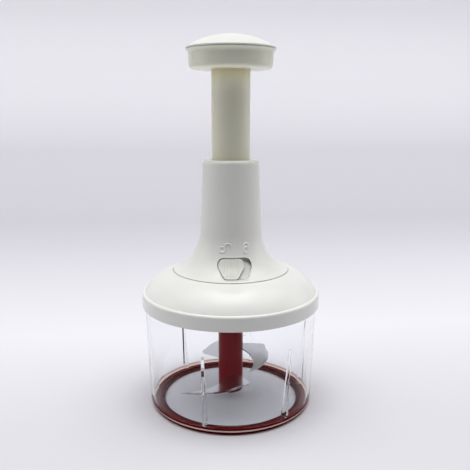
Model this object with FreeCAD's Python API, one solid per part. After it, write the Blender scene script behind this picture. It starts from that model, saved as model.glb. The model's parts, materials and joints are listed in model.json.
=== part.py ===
import FreeCAD, Part
import math
import os

# A hand-press food chopper. Pressing the knob drives a nut down a spiral
# shaft, and the shaft turns a stack of curved blades in a clear bowl.
# Millimetres, +Z up, origin at the centre of the base ring's underside.
# The lock on the housing faces -Y.

Vec = FreeCAD.Vector
ORIGIN = Vec(0, 0, 0)
Z_AXIS = Vec(0, 0, 1)
LOCK_SIDE = -90.0         # azimuth of -Y
HEX_SIDES = 6
SAME = 0.01               # lengths closer than this are the same

# ---- clearances ----
part_gap = 0.3            # between curved faces of bodies that move past each other
pin_play = 0.06           # radial play of a shaft or a pin in its bore
screw_play = 0.1          # radial play of a screw in its hole
key_play = 0.4            # play of a key, rail or tongue in its slot, on each side
press_gap = 0.05          # gap round a sleeve or tongue pushed into its place
end_gap = 0.6             # room beyond the end of a piece in its socket
flange_play = 0.5         # from the plunger's flange to the housing's wall
overrun = 1.0             # how far a cutter reaches past the face that it cuts

# ---- bowl ----
ring_height = 2.2         # the rubber ring lifts the bowl off the table
bowl_foot_radius = 69.8
bowl_rim_radius = 73.0
bowl_height = 94.8
bowl_wall = 2.4
bowl_floor = 2.6
bowl_corner = 2.5
boss_radius = 7.5
boss_height = 2.0
fin_count = 6
fin_height = 59.2
fin_thickness = 2.4
fin_depth_bottom = 5.6
fin_depth_top = 0.6
fin_turn = 36.4           # degrees from -Y towards +X to the first fin

# ---- base ring ----
ring_width = 9.8
ring_inset = 2.0
ring_edge = 0.6
tongue_width = 2.4
tongue_height = 1.2

# ---- blade column ----
pin_radius = 3.0
pin_length = 48.0
pin_seat = 1.6            # how deep the pin stands in the bowl's floor
hub_radius = 10.6
hub_edge = 0.6
hub_drop = 14.1           # from the lid's floor down to the column's shoulder
hex_across_flats = 14.0
hex_length = 10.0
hex_play = 0.2
blade_thickness = 0.9
blade_clearance = 3.8     # from the blades' points to the fins
blade_root = 4.0          # how deep the blades are moulded into the column
blade_root_width = 10.0
bevel_depth = 0.63
bevel_width = 2.34
lowest_blade = 17.2       # over the bowl's floor
blade_pitch = 12.5
cup_clearance = 1.1       # from the column's shoulder to the drive cup
blade_turns = {"lower_blade": -62.0, "middle_blade": -213.0, "upper_blade": -4.4}

# ---- blade outline, as shares of its reach, with its root on +X ----
blade_shoulder = (0.42, 0.026)
blade_corner = (0.49, 0.0)
blade_crown = (0.51, -0.10)
blade_belly = (0.53, -0.46)
blade_tip = (0.22, -0.975)
blade_hollow = (0.30, -0.52)
blade_root_ahead = 0.35   # share of the root's width on the blade's outer side

# ---- lid ----
lid_rim_wall = 1.7
lid_rim_height = 12.2
lid_overlap = 10.0        # how far the rim reaches down over the bowl
lid_wall = 2.0
lid_edge = 2.0
dome_rise = 17.7          # from the rim's top to the edge of the opening
dome_swell = 11.3         # the same to the middle of the dome
opening_gap = 0.4         # dark seam round the housing's foot
seat_depth = 1.7
seat_width = 5.0
well_depth = 12.2
collar_wall = 2.4
collar_depth = 4.0
plug_gap = 1.2            # from the plug to the bowl's wall
plug_wall = 2.2
plug_depth = 10.5
seal_depth = 1.2
seal_height = 2.3

# ---- drive ----
cup_radius = 16.8
cup_wall = 2.2
cup_nose_wall = 3.9
nose_drop = 1.0           # from the collar down to the cup's narrower nose
cup_flange_width = 2.6
cup_flange = 1.8
washer_thickness = 0.8
tooth_count = 12
tooth_depth = 1.4
tooth_step = 0.1          # share of a tooth's pitch taken by its step
ratchet_height = 6.0
ratchet_rise = 1.0        # from the cup's flange to its teeth
pawl_count = 3
pawl_sweep = 10.0         # degrees
pawl_back = 1.0           # degrees from the pawl's face to the tooth's step
pawl_bite = 0.2
arm_thickness = 1.2
arm_sweep = 100.0         # degrees round the shaft from an arm's root to its pawl
arm_root_sweep = 12.0
driver_wall = 2.6
journal_radius = 4.0
shaft_clearance = 1.0
thrust_radius = 8.0
thrust_height = 2.0
plate_thickness = 2.2
plate_post_radius = 2.7
plate_post_count = 3
plate_post_gap = 0.7      # from the cup's flange to the posts
plate_lip = 0.5

# ---- spiral shaft and nut ----
spiral_lead = 34.5
spiral_starts = 4
spiral_core_radius = 4.0
spiral_ridge_radius = 6.0
spiral_play = 0.25
ridge_share = 0.13        # half a ridge's top, as a share of the step between ridges
valley_share = 0.25       # from a ridge's middle to the foot of its flank
ridge_growth = 1.3        # radial share of the play at the ridge and at the core
core_growth = 1.1
stroke = 68.0
nut_height = 8.0
nut_lug = 2.0
nut_lug_width = 4.0

# ---- plunger ----
tube_radius = 15.75
tube_wall = 2.0
tube_step = 0.75
tube_plug = 6.0
foot_flange = 4.85
foot_thickness = 3.0
foot_sleeve_wall = 1.7
foot_sleeve_height = 12.0
knob_gap = 71.0           # bare tube between housing and knob at rest
knob_bottom_radius = 33.3
knob_side_radius = 34.0   # at the top of the straight side
knob_lip_radius = 35.8    # at the lip that the side flares out to
knob_lip_height = 4.6
knob_lip_edge = 0.6
knob_height = 15.4
knob_wall = 2.2
knob_floor = 2.4
knob_edge = 2.8
tube_drop = 1.0           # from the knob's top edge to the top of its socket
cap_overhang = 0.5
cap_rim = 1.0
cap_rise = 10.2
cap_wall = 2.2
cap_skirt = 4.5
seam_gap = 0.4
knob_screw_count = 3
knob_screw_circle = 8.0

# ---- housing ----
housing_wall = 2.3
housing_foot_radius = 48.5
housing_height = 93.8
housing_edge = 2.6
flare_foot_height = 2.2
flare_mid_share = 0.2345  # of the way in from top to foot, where the flare's
flare_mid_height = 16.4   # arc passes this height over the seat
flare_top_radius = 25.9
flare_top_height = 35.3
sleeve_wall = 2.2
sleeve_length = 15.0
rail_depth = 1.2
rail_thickness = 2.4
rail_count = 4
rail_rise = 5.8
screw_boss_inset = 12.5
screw_boss_radius = 3.6

# ---- spring ----
wire_radius = 0.65
spring_play = 0.95
spring_coils = 6
spring_seat_height = 2.0

# ---- lock ----
window_rise = 3.2         # from the housing's seat to the window
window_height = 14.7
window_rounds = (6.2, 4.0, 3.6)     # at the top, the shoulder and the bottom
button_half_top = 10.4
button_half_bottom = 5.3
button_shoulder = 0.52    # share of the height that is straight-sided
button_margin = 0.5
button_rounds = (5.7, 3.4, 3.0)
grip_rounds = (4.0, 2.4, 2.0)
button_sink = 0.35
grip_inset = 2.0
grip_rise = 0.8
grip_count = 6
grip_width = 1.0
grip_pitch = 2.3
lock_travel = 10.0        # degrees about the chopper's axis
slider_thickness = 1.8
slider_half_angle = 33.0
slider_lip = 1.2          # how far the carrier reaches past the window
tongue_arm_width = 2.6
tongue_arm_height = 2.2
tongue_reach_gap = 0.65   # from the tongue's tip to the plunger's tube

# ---- screws ----
screw_radius = 1.3
screw_head_radius = 2.7
screw_head_height = 1.7
screw_length = 10.0
screw_slot = 0.7
screw_head_round = 0.75
screw_turn = 30.0         # azimuth of the first of three screws

# ---- radii worked out from the sizes above ----
ring_outer_radius = bowl_foot_radius - ring_inset
ring_inner_radius = ring_outer_radius - ring_width
tongue_radius = ring_outer_radius - ring_width / 2
blade_reach = bowl_foot_radius - bowl_wall - fin_depth_bottom - blade_clearance
lid_radius = bowl_rim_radius + part_gap + lid_rim_wall
plug_radius = bowl_rim_radius - bowl_wall - plug_gap
opening_radius = housing_foot_radius + opening_gap
dome_mid_radius = (opening_radius + lid_radius) / 2
well_radius = housing_foot_radius - seat_width
collar_inner_radius = cup_radius + part_gap
collar_radius = collar_inner_radius + collar_wall
cup_flange_radius = cup_radius + cup_flange_width
tooth_root_radius = cup_radius - cup_wall
tooth_tip_radius = tooth_root_radius - tooth_depth
plate_post_circle = cup_flange_radius + plate_post_radius + plate_post_gap
plate_radius = plate_post_circle + plate_post_radius + plate_lip
tube_bore_radius = tube_radius - tube_wall
foot_sleeve_radius = tube_bore_radius - press_gap
foot_radius = tube_radius + foot_flange
rail_radius = foot_radius - rail_depth
housing_top_radius = foot_radius + flange_play + housing_wall
sleeve_radius = tube_radius + part_gap
flare_mid_radius = flare_top_radius + flare_mid_share * (housing_foot_radius - flare_top_radius)
boss_circle = housing_foot_radius - screw_boss_inset
spring_radius = foot_sleeve_radius - foot_sleeve_wall - wire_radius - spring_play
cap_radius = knob_lip_radius + cap_overhang
tongue_tip_radius = tube_radius + tongue_reach_gap

# ---- heights worked out from the sizes above ----
bowl_bottom = ring_height
bowl_top = bowl_bottom + bowl_height
bowl_inside = bowl_bottom + bowl_floor
boss_top = bowl_inside + boss_height
fin_top = bowl_inside + fin_height
pin_bottom = bowl_inside - pin_seat
pin_top = pin_bottom + pin_length
rim_bottom = bowl_top - lid_overlap
rim_top = rim_bottom + lid_rim_height
opening_z = rim_top + dome_rise
seat_z = opening_z - seat_depth
floor_top = seat_z - well_depth
floor_bottom = floor_top - lid_wall
collar_bottom = floor_bottom - collar_depth
hub_bottom = boss_top + part_gap
hub_top = floor_bottom - hub_drop
hex_top = hub_top + hex_length
cup_bottom = hub_top + cup_clearance
socket_top = hex_top + end_gap
shaft_bottom = socket_top + shaft_clearance
flange_bottom = floor_top + washer_thickness + part_gap
ratchet_bottom = flange_bottom + ratchet_rise
ratchet_top = ratchet_bottom + ratchet_height
thrust_bottom = ratchet_top + part_gap
thrust_top = thrust_bottom + thrust_height
plate_bottom = thrust_top + part_gap
plate_top = plate_bottom + plate_thickness
spiral_bottom = plate_top + end_gap
flare_foot_z = seat_z + flare_foot_height
flare_top_z = seat_z + flare_top_height
housing_top = seat_z + housing_height
rail_bottom = seat_z + rail_rise
sleeve_bottom = housing_top - sleeve_length
foot_top = sleeve_bottom - part_gap
foot_bottom = foot_top - foot_thickness
nut_bottom = foot_top + foot_sleeve_height
nut_top = nut_bottom + nut_height
shaft_top = nut_top + shaft_clearance
knob_bottom = housing_top + knob_gap
knob_top = knob_bottom + knob_height
tube_top = knob_top - knob_floor - tube_drop
window_bottom = seat_z + window_rise
window_top = window_bottom + window_height
lock_shelf = foot_top - stroke + part_gap     # the tongue lies on the foot when pressed


def rz(radius, z):
    return Vec(radius, 0, z)


def outline(start, *steps):
    """Closed outline in the radius-height plane. A step is one point for a
    straight run, or a pair of points for an arc through the first of them."""
    edges = []
    here = rz(*start)
    for step in steps:
        if isinstance(step[0], tuple):
            there = rz(*step[1])
            edges.append(Part.Arc(here, rz(*step[0]), there).toShape())
        else:
            there = rz(*step)
            edges.append(Part.LineSegment(here, there).toShape())
        here = there
    edges.append(Part.LineSegment(here, rz(*start)).toShape())
    return Part.Face(Part.Wire(edges))


def turned(start, *steps):
    """Solid of revolution about Z."""
    return outline(start, *steps).revolve(ORIGIN, Z_AXIS, 360)


def ring(outer, inner, z0, z1):
    solid = Part.makeCylinder(outer, z1 - z0, Vec(0, 0, z0))
    if inner > 0:
        solid = solid.cut(Part.makeCylinder(inner, z1 - z0, Vec(0, 0, z0)))
    return solid


def rod(radius, z0, z1, x=0.0, y=0.0):
    return Part.makeCylinder(radius, z1 - z0, Vec(x, y, z0))


def prism(points, z0, z1):
    """Upright prism over a list of (x, y) corners."""
    corners = [Vec(x, y, z0) for x, y in points]
    face = Part.Face(Part.makePolygon(corners + corners[:1]))
    return face.extrude(Vec(0, 0, z1 - z0))


def spun(solid, degrees):
    copy = solid.copy()
    copy.rotate(ORIGIN, Z_AXIS, degrees)
    return copy


def around(solid, count, first=0.0):
    return [spun(solid, first + 360.0 * i / count) for i in range(count)]


def level_edges(solid, radius, z=None):
    """Level circles of this radius round the axis, all of them or those at z."""
    found = []
    for edge in solid.Edges:
        box = edge.BoundBox
        level = box.ZLength < SAME and abs(box.XLength - 2 * radius) < SAME
        if level and (z is None or abs(box.ZMin - z) < SAME):
            found.append(edge)
    return found


def polar(radius, degrees):
    a = math.radians(degrees)
    return radius * math.cos(a), radius * math.sin(a)


def bowl_outer(z):
    """Outer radius of the bowl, which widens towards its rim."""
    share = (z - bowl_bottom) / bowl_height
    return bowl_foot_radius + (bowl_rim_radius - bowl_foot_radius) * share


def bend(radius):
    """How far the middle of a quarter round lies inside both of its sides."""
    return radius * (1 - math.sqrt(0.5))


# ---------------------------------------------------------------- bowl

def make_bowl():
    c = bowl_corner
    k = bend(c)
    foot = bowl_outer(bowl_bottom + c)
    inner = foot - bowl_wall
    shell = turned(
        (0, bowl_bottom),
        (foot - c, bowl_bottom),
        ((foot - k, bowl_bottom + k), (foot, bowl_bottom + c)),
        (bowl_rim_radius, bowl_top),
        (bowl_rim_radius - bowl_wall, bowl_top),
        (inner, bowl_inside + c),
        ((inner - k, bowl_inside + k), (inner - c, bowl_inside)),
        (boss_radius, bowl_inside),
        (boss_radius, boss_top),
        (pin_radius, boss_top),
        (pin_radius, pin_bottom),
        (0, pin_bottom),
    )
    shell = shell.fuse(around(make_fin(), fin_count, fin_turn + LOCK_SIDE))
    half = tongue_width / 2 + press_gap
    groove = ring(tongue_radius + half, tongue_radius - half,
                  bowl_bottom, bowl_bottom + tongue_height + press_gap)
    return shell.cut(groove).removeSplitter()


def make_fin():
    """Upright baffle on the bowl's inner wall, deep at the floor and fading
    out at its top. It points along +X."""
    root = bowl_wall / 2
    low = bowl_outer(bowl_inside) - bowl_wall
    high = bowl_outer(fin_top) - bowl_wall
    sink = bowl_floor / 2
    corners = [
        rz(low + root, bowl_inside - sink),
        rz(low - fin_depth_bottom, bowl_inside - sink),
        rz(high - fin_depth_top, fin_top),
        rz(high + root, fin_top),
    ]
    face = Part.Face(Part.makePolygon(corners + corners[:1]))
    face.translate(Vec(0, -fin_thickness / 2, 0))
    return face.extrude(Vec(0, fin_thickness, 0))


def make_base_ring():
    body = ring(ring_outer_radius, ring_inner_radius, 0, ring_height)
    body = body.makeFillet(ring_edge, level_edges(body, ring_outer_radius))
    tongue = ring(tongue_radius + tongue_width / 2, tongue_radius - tongue_width / 2,
                  ring_height, ring_height + tongue_height)
    return body.fuse(tongue).removeSplitter()


def make_centre_pin():
    pin = rod(pin_radius, pin_bottom, pin_top)
    top = level_edges(pin, pin_radius, pin_top)
    return pin.makeChamfer(pin_radius / 4, top)


# ---------------------------------------------------------------- blades

def blade_point(share):
    """Point of the blade's outline from its shares of the reach."""
    return Vec(share[0] * blade_reach, share[1] * blade_reach, 0)


def blade_plate():
    """Sickle blade lying flat, its root at the hub on +X. Its outer edge runs
    out from the hub, bends and sweeps clockwise to a point."""
    inside = hub_radius - blade_root
    root = Vec(inside, blade_root_ahead * blade_root_width, 0)
    heel = Vec(inside, root.y - blade_root_width, 0)
    shoulder, corner, crown = (blade_point(p) for p in (blade_shoulder, blade_corner, blade_crown))
    belly, tip, hollow = (blade_point(p) for p in (blade_belly, blade_tip, blade_hollow))
    edges = [
        Part.LineSegment(root, shoulder).toShape(),
        Part.Arc(shoulder, corner, crown).toShape(),
        Part.Arc(crown, belly, tip).toShape(),
        Part.Arc(tip, hollow, heel).toShape(),
        Part.LineSegment(heel, root).toShape(),
    ]
    plate = Part.Face(Part.Wire(edges)).extrude(Vec(0, 0, blade_thickness))
    bevel = [e for e in plate.Edges if is_cutting_edge(e, edges[2])]
    return plate.makeChamfer(bevel_depth, bevel_width, bevel)


def is_cutting_edge(edge, line):
    same = abs(edge.Length - line.Length) < SAME
    return same and edge.BoundBox.ZMin > blade_thickness - SAME


def make_blades():
    blades = {}
    for i, (name, turn) in enumerate(blade_turns.items()):
        blade = spun(blade_plate(), turn)
        blade.translate(Vec(0, 0, bowl_inside + lowest_blade + i * blade_pitch))
        blades[name] = blade
    return blades


def hex_corner(across_flats):
    return across_flats / math.sqrt(3)


def hexagon(across_flats):
    return [polar(hex_corner(across_flats), 360.0 * i / HEX_SIDES) for i in range(HEX_SIDES)]


def make_hub(blades):
    """Column that stands on the pin. The blades are moulded into it."""
    hub = rod(hub_radius, hub_bottom, hub_top)
    hub = hub.makeFillet(hub_edge, level_edges(hub, hub_radius))
    hub = hub.fuse(prism(hexagon(hex_across_flats), hub_top - overrun, hex_top))
    bore_top = pin_top + part_gap
    hub = hub.cut(rod(pin_radius + pin_play, hub_bottom, bore_top))
    return hub.cut(list(blades.values()))


# ---------------------------------------------------------------- lid

def make_lid():
    """Domed lid. Its rim hangs over the bowl, a plug reaches down inside the
    bowl, and a well in the middle carries the drive."""
    rim_inner = bowl_rim_radius + part_gap
    e = lid_edge
    k = bend(e)
    dome = (dome_mid_radius, rim_top + dome_swell)
    plug_inner = plug_radius - plug_wall
    plug_bottom = bowl_top - plug_depth
    groove_top = seal_top()
    groove_bottom = groove_top - seal_height
    well_outer = well_radius + lid_wall
    lid = turned(
        (lid_radius, rim_bottom),
        (lid_radius, rim_top - e),
        ((lid_radius - k, rim_top - k), (lid_radius - e, rim_top)),
        (dome, (opening_radius, opening_z)),
        (opening_radius, seat_z),
        (well_radius, seat_z),
        (well_radius, floor_top),
        (collar_inner_radius, floor_top),
        (collar_inner_radius, collar_bottom),
        (collar_radius, collar_bottom),
        (collar_radius, floor_bottom),
        (well_outer, floor_bottom),
        (well_outer, seat_z - lid_wall),
        ((dome[0] - lid_wall / 2, dome[1] - lid_wall), (plug_inner, bowl_top + e + lid_wall)),
        (plug_inner, plug_bottom),
        (plug_radius, plug_bottom),
        (plug_radius, groove_bottom),
        (plug_radius - seal_depth, groove_bottom),
        (plug_radius - seal_depth, groove_top),
        (plug_radius, groove_top),
        (plug_radius, bowl_top),
        (rim_inner, bowl_top),
        (rim_inner, rim_bottom),
    )
    holes = [screw_hole(x, y, floor_bottom) for x, y in lid_screw_places()]
    return lid.cut(holes)


def seal_top():
    return bowl_top - plug_depth / 2


def make_lid_seal():
    """Soft ring in the plug's groove, one gap short of the bowl's wall."""
    wall = bowl_outer(seal_top() - seal_height) - bowl_wall
    return ring(wall - part_gap, plug_radius - seal_depth, seal_top() - seal_height, seal_top())


def lid_screw_places():
    return housing_screw_places() + plate_screw_places()


def housing_screw_places():
    turns = [rail_turn() + 360.0 * i / rail_count for i in range(rail_count)]
    return [polar(boss_circle, turn) for turn in turns]


def plate_screw_places():
    turns = [screw_turn + 360.0 * i / plate_post_count for i in range(plate_post_count)]
    return [polar(plate_post_circle, turn) for turn in turns]


def rail_turn():
    """Half a step from -Y, so that no rail stands behind the lock."""
    return LOCK_SIDE + 180.0 / rail_count


def screw_hole(x, y, z):
    """Hole for a screw that comes up through the lid's floor at height z."""
    return rod(screw_radius + screw_play, z - overrun, z + screw_length + overrun, x, y)


def screw_from_below(x, y, z):
    """Round-headed screw whose head lies under a floor at height z."""
    shank = rod(screw_radius, z, z + screw_length, x, y)
    head = rod(screw_head_radius, z - screw_head_height, z, x, y)
    under = [e for e in head.Edges if e.BoundBox.ZMax < z - screw_head_height + SAME]
    head = head.makeFillet(screw_head_round, under)
    slot = Part.makeBox(2 * screw_head_radius, screw_slot, screw_slot)
    slot.translate(Vec(x - screw_head_radius, y - screw_slot / 2, z - screw_head_height))
    return head.cut(slot).fuse(shank)


# ---------------------------------------------------------------- housing

def flare_arc():
    """The concave arc of the flare, from its foot to its top."""
    foot = rz(housing_foot_radius, flare_foot_z)
    middle = rz(flare_mid_radius, seat_z + flare_mid_height)
    return Part.Arc(foot, middle, rz(flare_top_radius, flare_top_z)).toShape().Curve


def flare_point(inset, z):
    """Point of the flare at height z, moved in from the outside by inset."""
    arc = flare_arc()
    reach = arc.Radius + inset
    dz = arc.Center.z - z
    return (arc.Center.x - math.sqrt(reach ** 2 - dz ** 2), z)


def flare_run(inset, z_from, z_to):
    """Arc step of an outline along the flare."""
    middle = flare_point(inset, (z_from + z_to) / 2)
    return middle, flare_point(inset, z_to)


def housing_outside():
    e = housing_edge
    k = bend(e)
    return turned(
        (0, seat_z),
        (housing_foot_radius, seat_z),
        (housing_foot_radius, flare_foot_z),
        flare_run(0, flare_foot_z, flare_top_z),
        (housing_top_radius, housing_top - e),
        ((housing_top_radius - k, housing_top - k), (housing_top_radius - e, housing_top)),
        (0, housing_top),
    )


def housing_inside():
    w = housing_wall
    sleeve_outer = sleeve_radius + sleeve_wall
    return turned(
        (0, seat_z - overrun),
        (flare_point(w, seat_z)[0], seat_z - overrun),
        flare_point(w, seat_z),
        flare_run(w, seat_z, flare_top_z),
        (housing_top_radius - w, housing_top - w),
        (sleeve_outer, housing_top - w),
        (sleeve_outer, sleeve_bottom),
        (0, sleeve_bottom),
    )


def make_housing():
    """Flared housing that guides the plunger. Its rails keep the plunger from
    turning, and screws from under the lid hold it by its bosses."""
    outside = housing_outside()
    inside = housing_inside()
    shell = outside.cut(inside).cut(rod(sleeve_radius, seat_z, housing_top))
    rail = Part.makeBox(housing_foot_radius, rail_thickness, sleeve_bottom - rail_bottom)
    rail.translate(Vec(rail_radius, -rail_thickness / 2, rail_bottom))
    rails = [outside.common(r) for r in around(rail, rail_count, rail_turn())]
    room = outside.fuse(rod(housing_foot_radius, floor_top, seat_z))
    bosses = [room.common(rod(screw_boss_radius, floor_top, flare_top_z, x, y))
              for x, y in housing_screw_places()]
    shell = shell.fuse(rails + bosses)
    holes = [screw_hole(x, y, floor_bottom) for x, y in housing_screw_places()]
    return shell.cut(holes + [window_prism()]).removeSplitter()


# ---------------------------------------------------------------- lock

def shield(half_top, half_bottom, top, bottom, rounds):
    """Shield outline with a flat top and tapering sides, pushed back along Y.
    Its corners are rounded at the top, the shoulder and the bottom."""
    shoulder = shoulder_height(top, bottom)
    points = [(-half_bottom, bottom), (half_bottom, bottom), (half_top, shoulder),
              (half_top, top), (-half_top, top), (-half_top, shoulder)]
    corners = [Vec(x, -housing_foot_radius, z) for x, z in points]
    face = Part.Face(Part.makePolygon(corners + corners[:1]))
    block = face.extrude(Vec(0, housing_foot_radius - rail_radius, 0))
    for height, reach in zip((top, shoulder, bottom), rounds):
        sides = [e for e in block.Edges if is_corner(e, height)]
        block = block.makeFillet(reach, sides)
    return block


def is_corner(edge, z):
    """True for a straight edge along Y at this height."""
    box = edge.BoundBox
    return box.YLength > SAME and box.ZLength < SAME and box.XLength < SAME and abs(box.ZMin - z) < SAME


def shoulder_height(top, bottom):
    return top - (top - bottom) * button_shoulder


def half_travel(z):
    """How far the button moves to each side of the middle at height z."""
    return flare_point(0, z)[0] * math.sin(math.radians(lock_travel / 2))


def window_prism():
    """Room for the button from one end of its travel to the other."""
    shoulder = shoulder_height(window_top, window_bottom)
    half_top = button_half_top + half_travel(shoulder) + button_margin
    half_bottom = button_half_bottom + half_travel(window_bottom) + button_margin
    return shield(half_top, half_bottom, window_top, window_bottom, window_rounds)


def flare_band(outer_inset, inner_inset, z0, z1):
    """Ring that follows the flare between two insets and two heights."""
    return turned(
        flare_point(outer_inset, z0),
        flare_run(outer_inset, z0, z1),
        flare_point(inner_inset, z1),
        flare_run(inner_inset, z1, z0),
    )


def make_lock_button():
    """Shield-shaped thumb button that lies in the window and slides round the
    flare. At rest it is at the window's left end."""
    top = window_top - button_margin
    bottom = window_bottom + button_margin
    block = shield(button_half_top, button_half_bottom, top, bottom, button_rounds)
    back = housing_wall + part_gap
    button = block.common(flare_band(button_sink, back, window_bottom, window_top))
    inset = grip_inset
    grip = shield(button_half_top - inset, button_half_bottom - inset / 3, top - inset,
                  bottom + inset, grip_rounds)
    grip = grip.common(flare_band(button_sink - grip_rise, housing_wall / 2, bottom, top))
    for i in range(grip_count):
        x = (i - grip_count / 2) * grip_pitch + (grip_pitch - grip_width) / 2
        slab = Part.makeBox(grip_width, housing_foot_radius, window_height)
        slab.translate(Vec(x, -housing_foot_radius, bottom))
        button = button.fuse(grip.common(slab))
    return spun(button, -lock_travel / 2)


def make_lock_slider():
    """Curved carrier behind the window, with the tongue that reaches in to the
    plunger's foot."""
    outer = housing_wall + part_gap
    low = window_bottom - slider_lip
    high = window_top + slider_lip
    band = flare_band(outer, outer + slider_thickness, low, high)
    a = housing_foot_radius
    wide = a * math.tan(math.radians(slider_half_angle))
    carrier = band.common(prism([(0, 0), (-wide, -a), (wide, -a)], low, high))
    arm = Part.makeBox(tongue_arm_width, a, tongue_arm_height)
    arm.translate(Vec(-tongue_arm_width / 2, -a - tongue_tip_radius, lock_shelf))
    middle = outer + slider_thickness / 2
    arm = arm.common(turned((0, low), flare_point(middle, low), flare_run(middle, low, high), (0, high)))
    return spun(carrier.fuse(arm).removeSplitter(), -lock_travel / 2)


# ---------------------------------------------------------------- drive

def sector(outer, inner, z0, z1, a0, a1):
    """Upright block between two radii and two azimuths."""
    mid = (a0 + a1) / 2
    edges = [
        Part.Arc(Vec(*polar(outer, a0), z0), Vec(*polar(outer, mid), z0),
                 Vec(*polar(outer, a1), z0)).toShape(),
        Part.makeLine(Vec(*polar(outer, a1), z0), Vec(*polar(inner, a1), z0)),
        Part.Arc(Vec(*polar(inner, a1), z0), Vec(*polar(inner, mid), z0),
                 Vec(*polar(inner, a0), z0)).toShape(),
        Part.makeLine(Vec(*polar(inner, a0), z0), Vec(*polar(outer, a0), z0)),
    ]
    return Part.Face(Part.Wire(edges)).extrude(Vec(0, 0, z1 - z0))


def saw_teeth():
    """Room inside the cup: each tooth deepens slowly and ends in a step that
    the pawls push against."""
    pitch = 360.0 / tooth_count
    points = []
    for i in range(tooth_count):
        points.append(polar(tooth_tip_radius, i * pitch))
        points.append(polar(tooth_tip_radius, (i + tooth_step) * pitch))
        points.append(polar(tooth_root_radius, (i + 1) * pitch))
    return prism(points, ratchet_bottom, ratchet_top)


def make_drive_cup():
    """Cup that hangs in the lid's collar by its flange: ratchet teeth above,
    and a six-sided socket below for the blade column."""
    nose_top = collar_bottom - nose_drop
    socket_flats = hex_across_flats + 2 * hex_play
    nose_radius = hex_corner(socket_flats) + cup_nose_wall
    body = turned(
        (0, cup_bottom),
        (nose_radius, cup_bottom),
        (nose_radius, nose_top),
        (cup_radius, nose_top),
        (cup_radius, flange_bottom),
        (cup_flange_radius, flange_bottom),
        (cup_flange_radius, flange_bottom + cup_flange),
        (cup_radius, flange_bottom + cup_flange),
        (cup_radius, ratchet_top),
        (0, ratchet_top),
    )
    socket = prism(hexagon(socket_flats), cup_bottom, socket_top)
    bore = rod(journal_radius + pin_play, cup_bottom, ratchet_top)
    return body.cut([socket, bore, saw_teeth()])


def make_thrust_washer():
    return ring(cup_flange_radius, collar_inner_radius, floor_top, floor_top + washer_thickness)


def make_ratchet_driver():
    """Hub with springy arms. Each arm ends in a pawl against a tooth's step."""
    low = ratchet_bottom + part_gap
    high = ratchet_top
    arm_outer = tooth_tip_radius - tooth_depth
    arm_inner = arm_outer - arm_thickness
    hub = ring(journal_radius + driver_wall, journal_radius, low, thrust_bottom)
    tip_end = 360.0 / tooth_count - pawl_back
    tip_start = tip_end - pawl_sweep
    root_start = tip_end - arm_sweep
    root_end = root_start + arm_root_sweep
    arm = sector(arm_outer, arm_inner, low, high, root_start, tip_end)
    pawl = sector(tooth_tip_radius + pawl_bite, arm_inner, low, high, tip_start, tip_end)
    root = sector(arm_outer, journal_radius + driver_wall / 2, low, high, root_start, root_end)
    arms = around(arm.fuse([pawl, root]), pawl_count)
    return hub.fuse(arms).removeSplitter()


def make_bearing_plate():
    """Plate on posts that holds the cup and the shaft down. The return spring
    stands round its middle ring."""
    disc = ring(plate_radius, 0, plate_bottom, plate_top)
    middle = ring(spring_radius - wire_radius - part_gap, 0, plate_top,
                  plate_top + spring_seat_height)
    posts = [rod(plate_post_radius, floor_top, plate_top, x, y)
             for x, y in plate_screw_places()]
    plate = disc.fuse(posts + [middle])
    bore = rod(journal_radius + pin_play, plate_bottom, plate_top)
    room = rod(spiral_ridge_radius + part_gap, plate_top, plate_top + spring_seat_height)
    holes = [screw_hole(x, y, floor_bottom) for x, y in plate_screw_places()]
    return plate.cut(holes + [bore, room]).removeSplitter()


def spiral_section(play, z):
    """Corners of the shaft's section: one flat-topped ridge for each start."""
    points = []
    step = 360.0 / spiral_starts
    corners = [
        (spiral_ridge_radius, ridge_growth, -ridge_share),
        (spiral_ridge_radius, ridge_growth, ridge_share),
        (spiral_core_radius, core_growth, valley_share),
        (spiral_core_radius, core_growth, 1 - valley_share),
    ]
    for i in range(spiral_starts):
        for radius, growth, part in corners:
            grow = play * growth
            widen = math.degrees(play / radius) * (-1 if part < 0 or part > 0.5 else 1)
            x, y = polar(radius + grow, (i + part) * step + widen)
            points.append(Vec(x, y, z))
    return Part.makePolygon(points + points[:1])


def spiral(play):
    """The ridged section twisted along the axis, one turn in each lead."""
    length = shaft_top - spiral_bottom
    axis = Part.makeLine(Vec(0, 0, spiral_bottom), Vec(0, 0, shaft_top))
    guide = Part.makeHelix(spiral_lead, length, spiral_ridge_radius)
    guide.translate(Vec(0, 0, spiral_bottom))
    sweep = Part.BRepOffsetAPI.MakePipeShell(Part.Wire(axis))
    sweep.setAuxiliarySpine(Part.Wire(guide), False, 0)
    sweep.add(spiral_section(play, spiral_bottom), False, False)
    sweep.build()
    sweep.makeSolid()
    return sweep.shape()


def make_spiral_shaft():
    journal = rod(journal_radius, shaft_bottom, spiral_bottom)
    collar = rod(thrust_radius, thrust_bottom, thrust_top)
    return spiral(0).fuse([journal, collar])


# ---------------------------------------------------------------- plunger

def lug_boxes(play):
    """Two keys that stop the nut from turning in the plunger, or their slots."""
    inner = foot_sleeve_radius - foot_sleeve_wall - play
    wide = nut_lug_width + 2 * play
    lug = Part.makeBox(foot_sleeve_wall + 2 * play, wide, nut_lug + play)
    lug.translate(Vec(inner, -wide / 2, nut_bottom - nut_lug - play))
    return around(lug, 2)


def make_drive_nut():
    """Nut that rides on the spiral. It is keyed in the plunger."""
    body = rod(foot_sleeve_radius, nut_bottom, nut_top)
    sleeve = rod(foot_sleeve_radius, nut_bottom - nut_lug, nut_bottom)
    lugs = [lug.common(sleeve) for lug in lug_boxes(0)]
    return body.fuse(lugs).cut(spiral(spiral_play))


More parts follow.
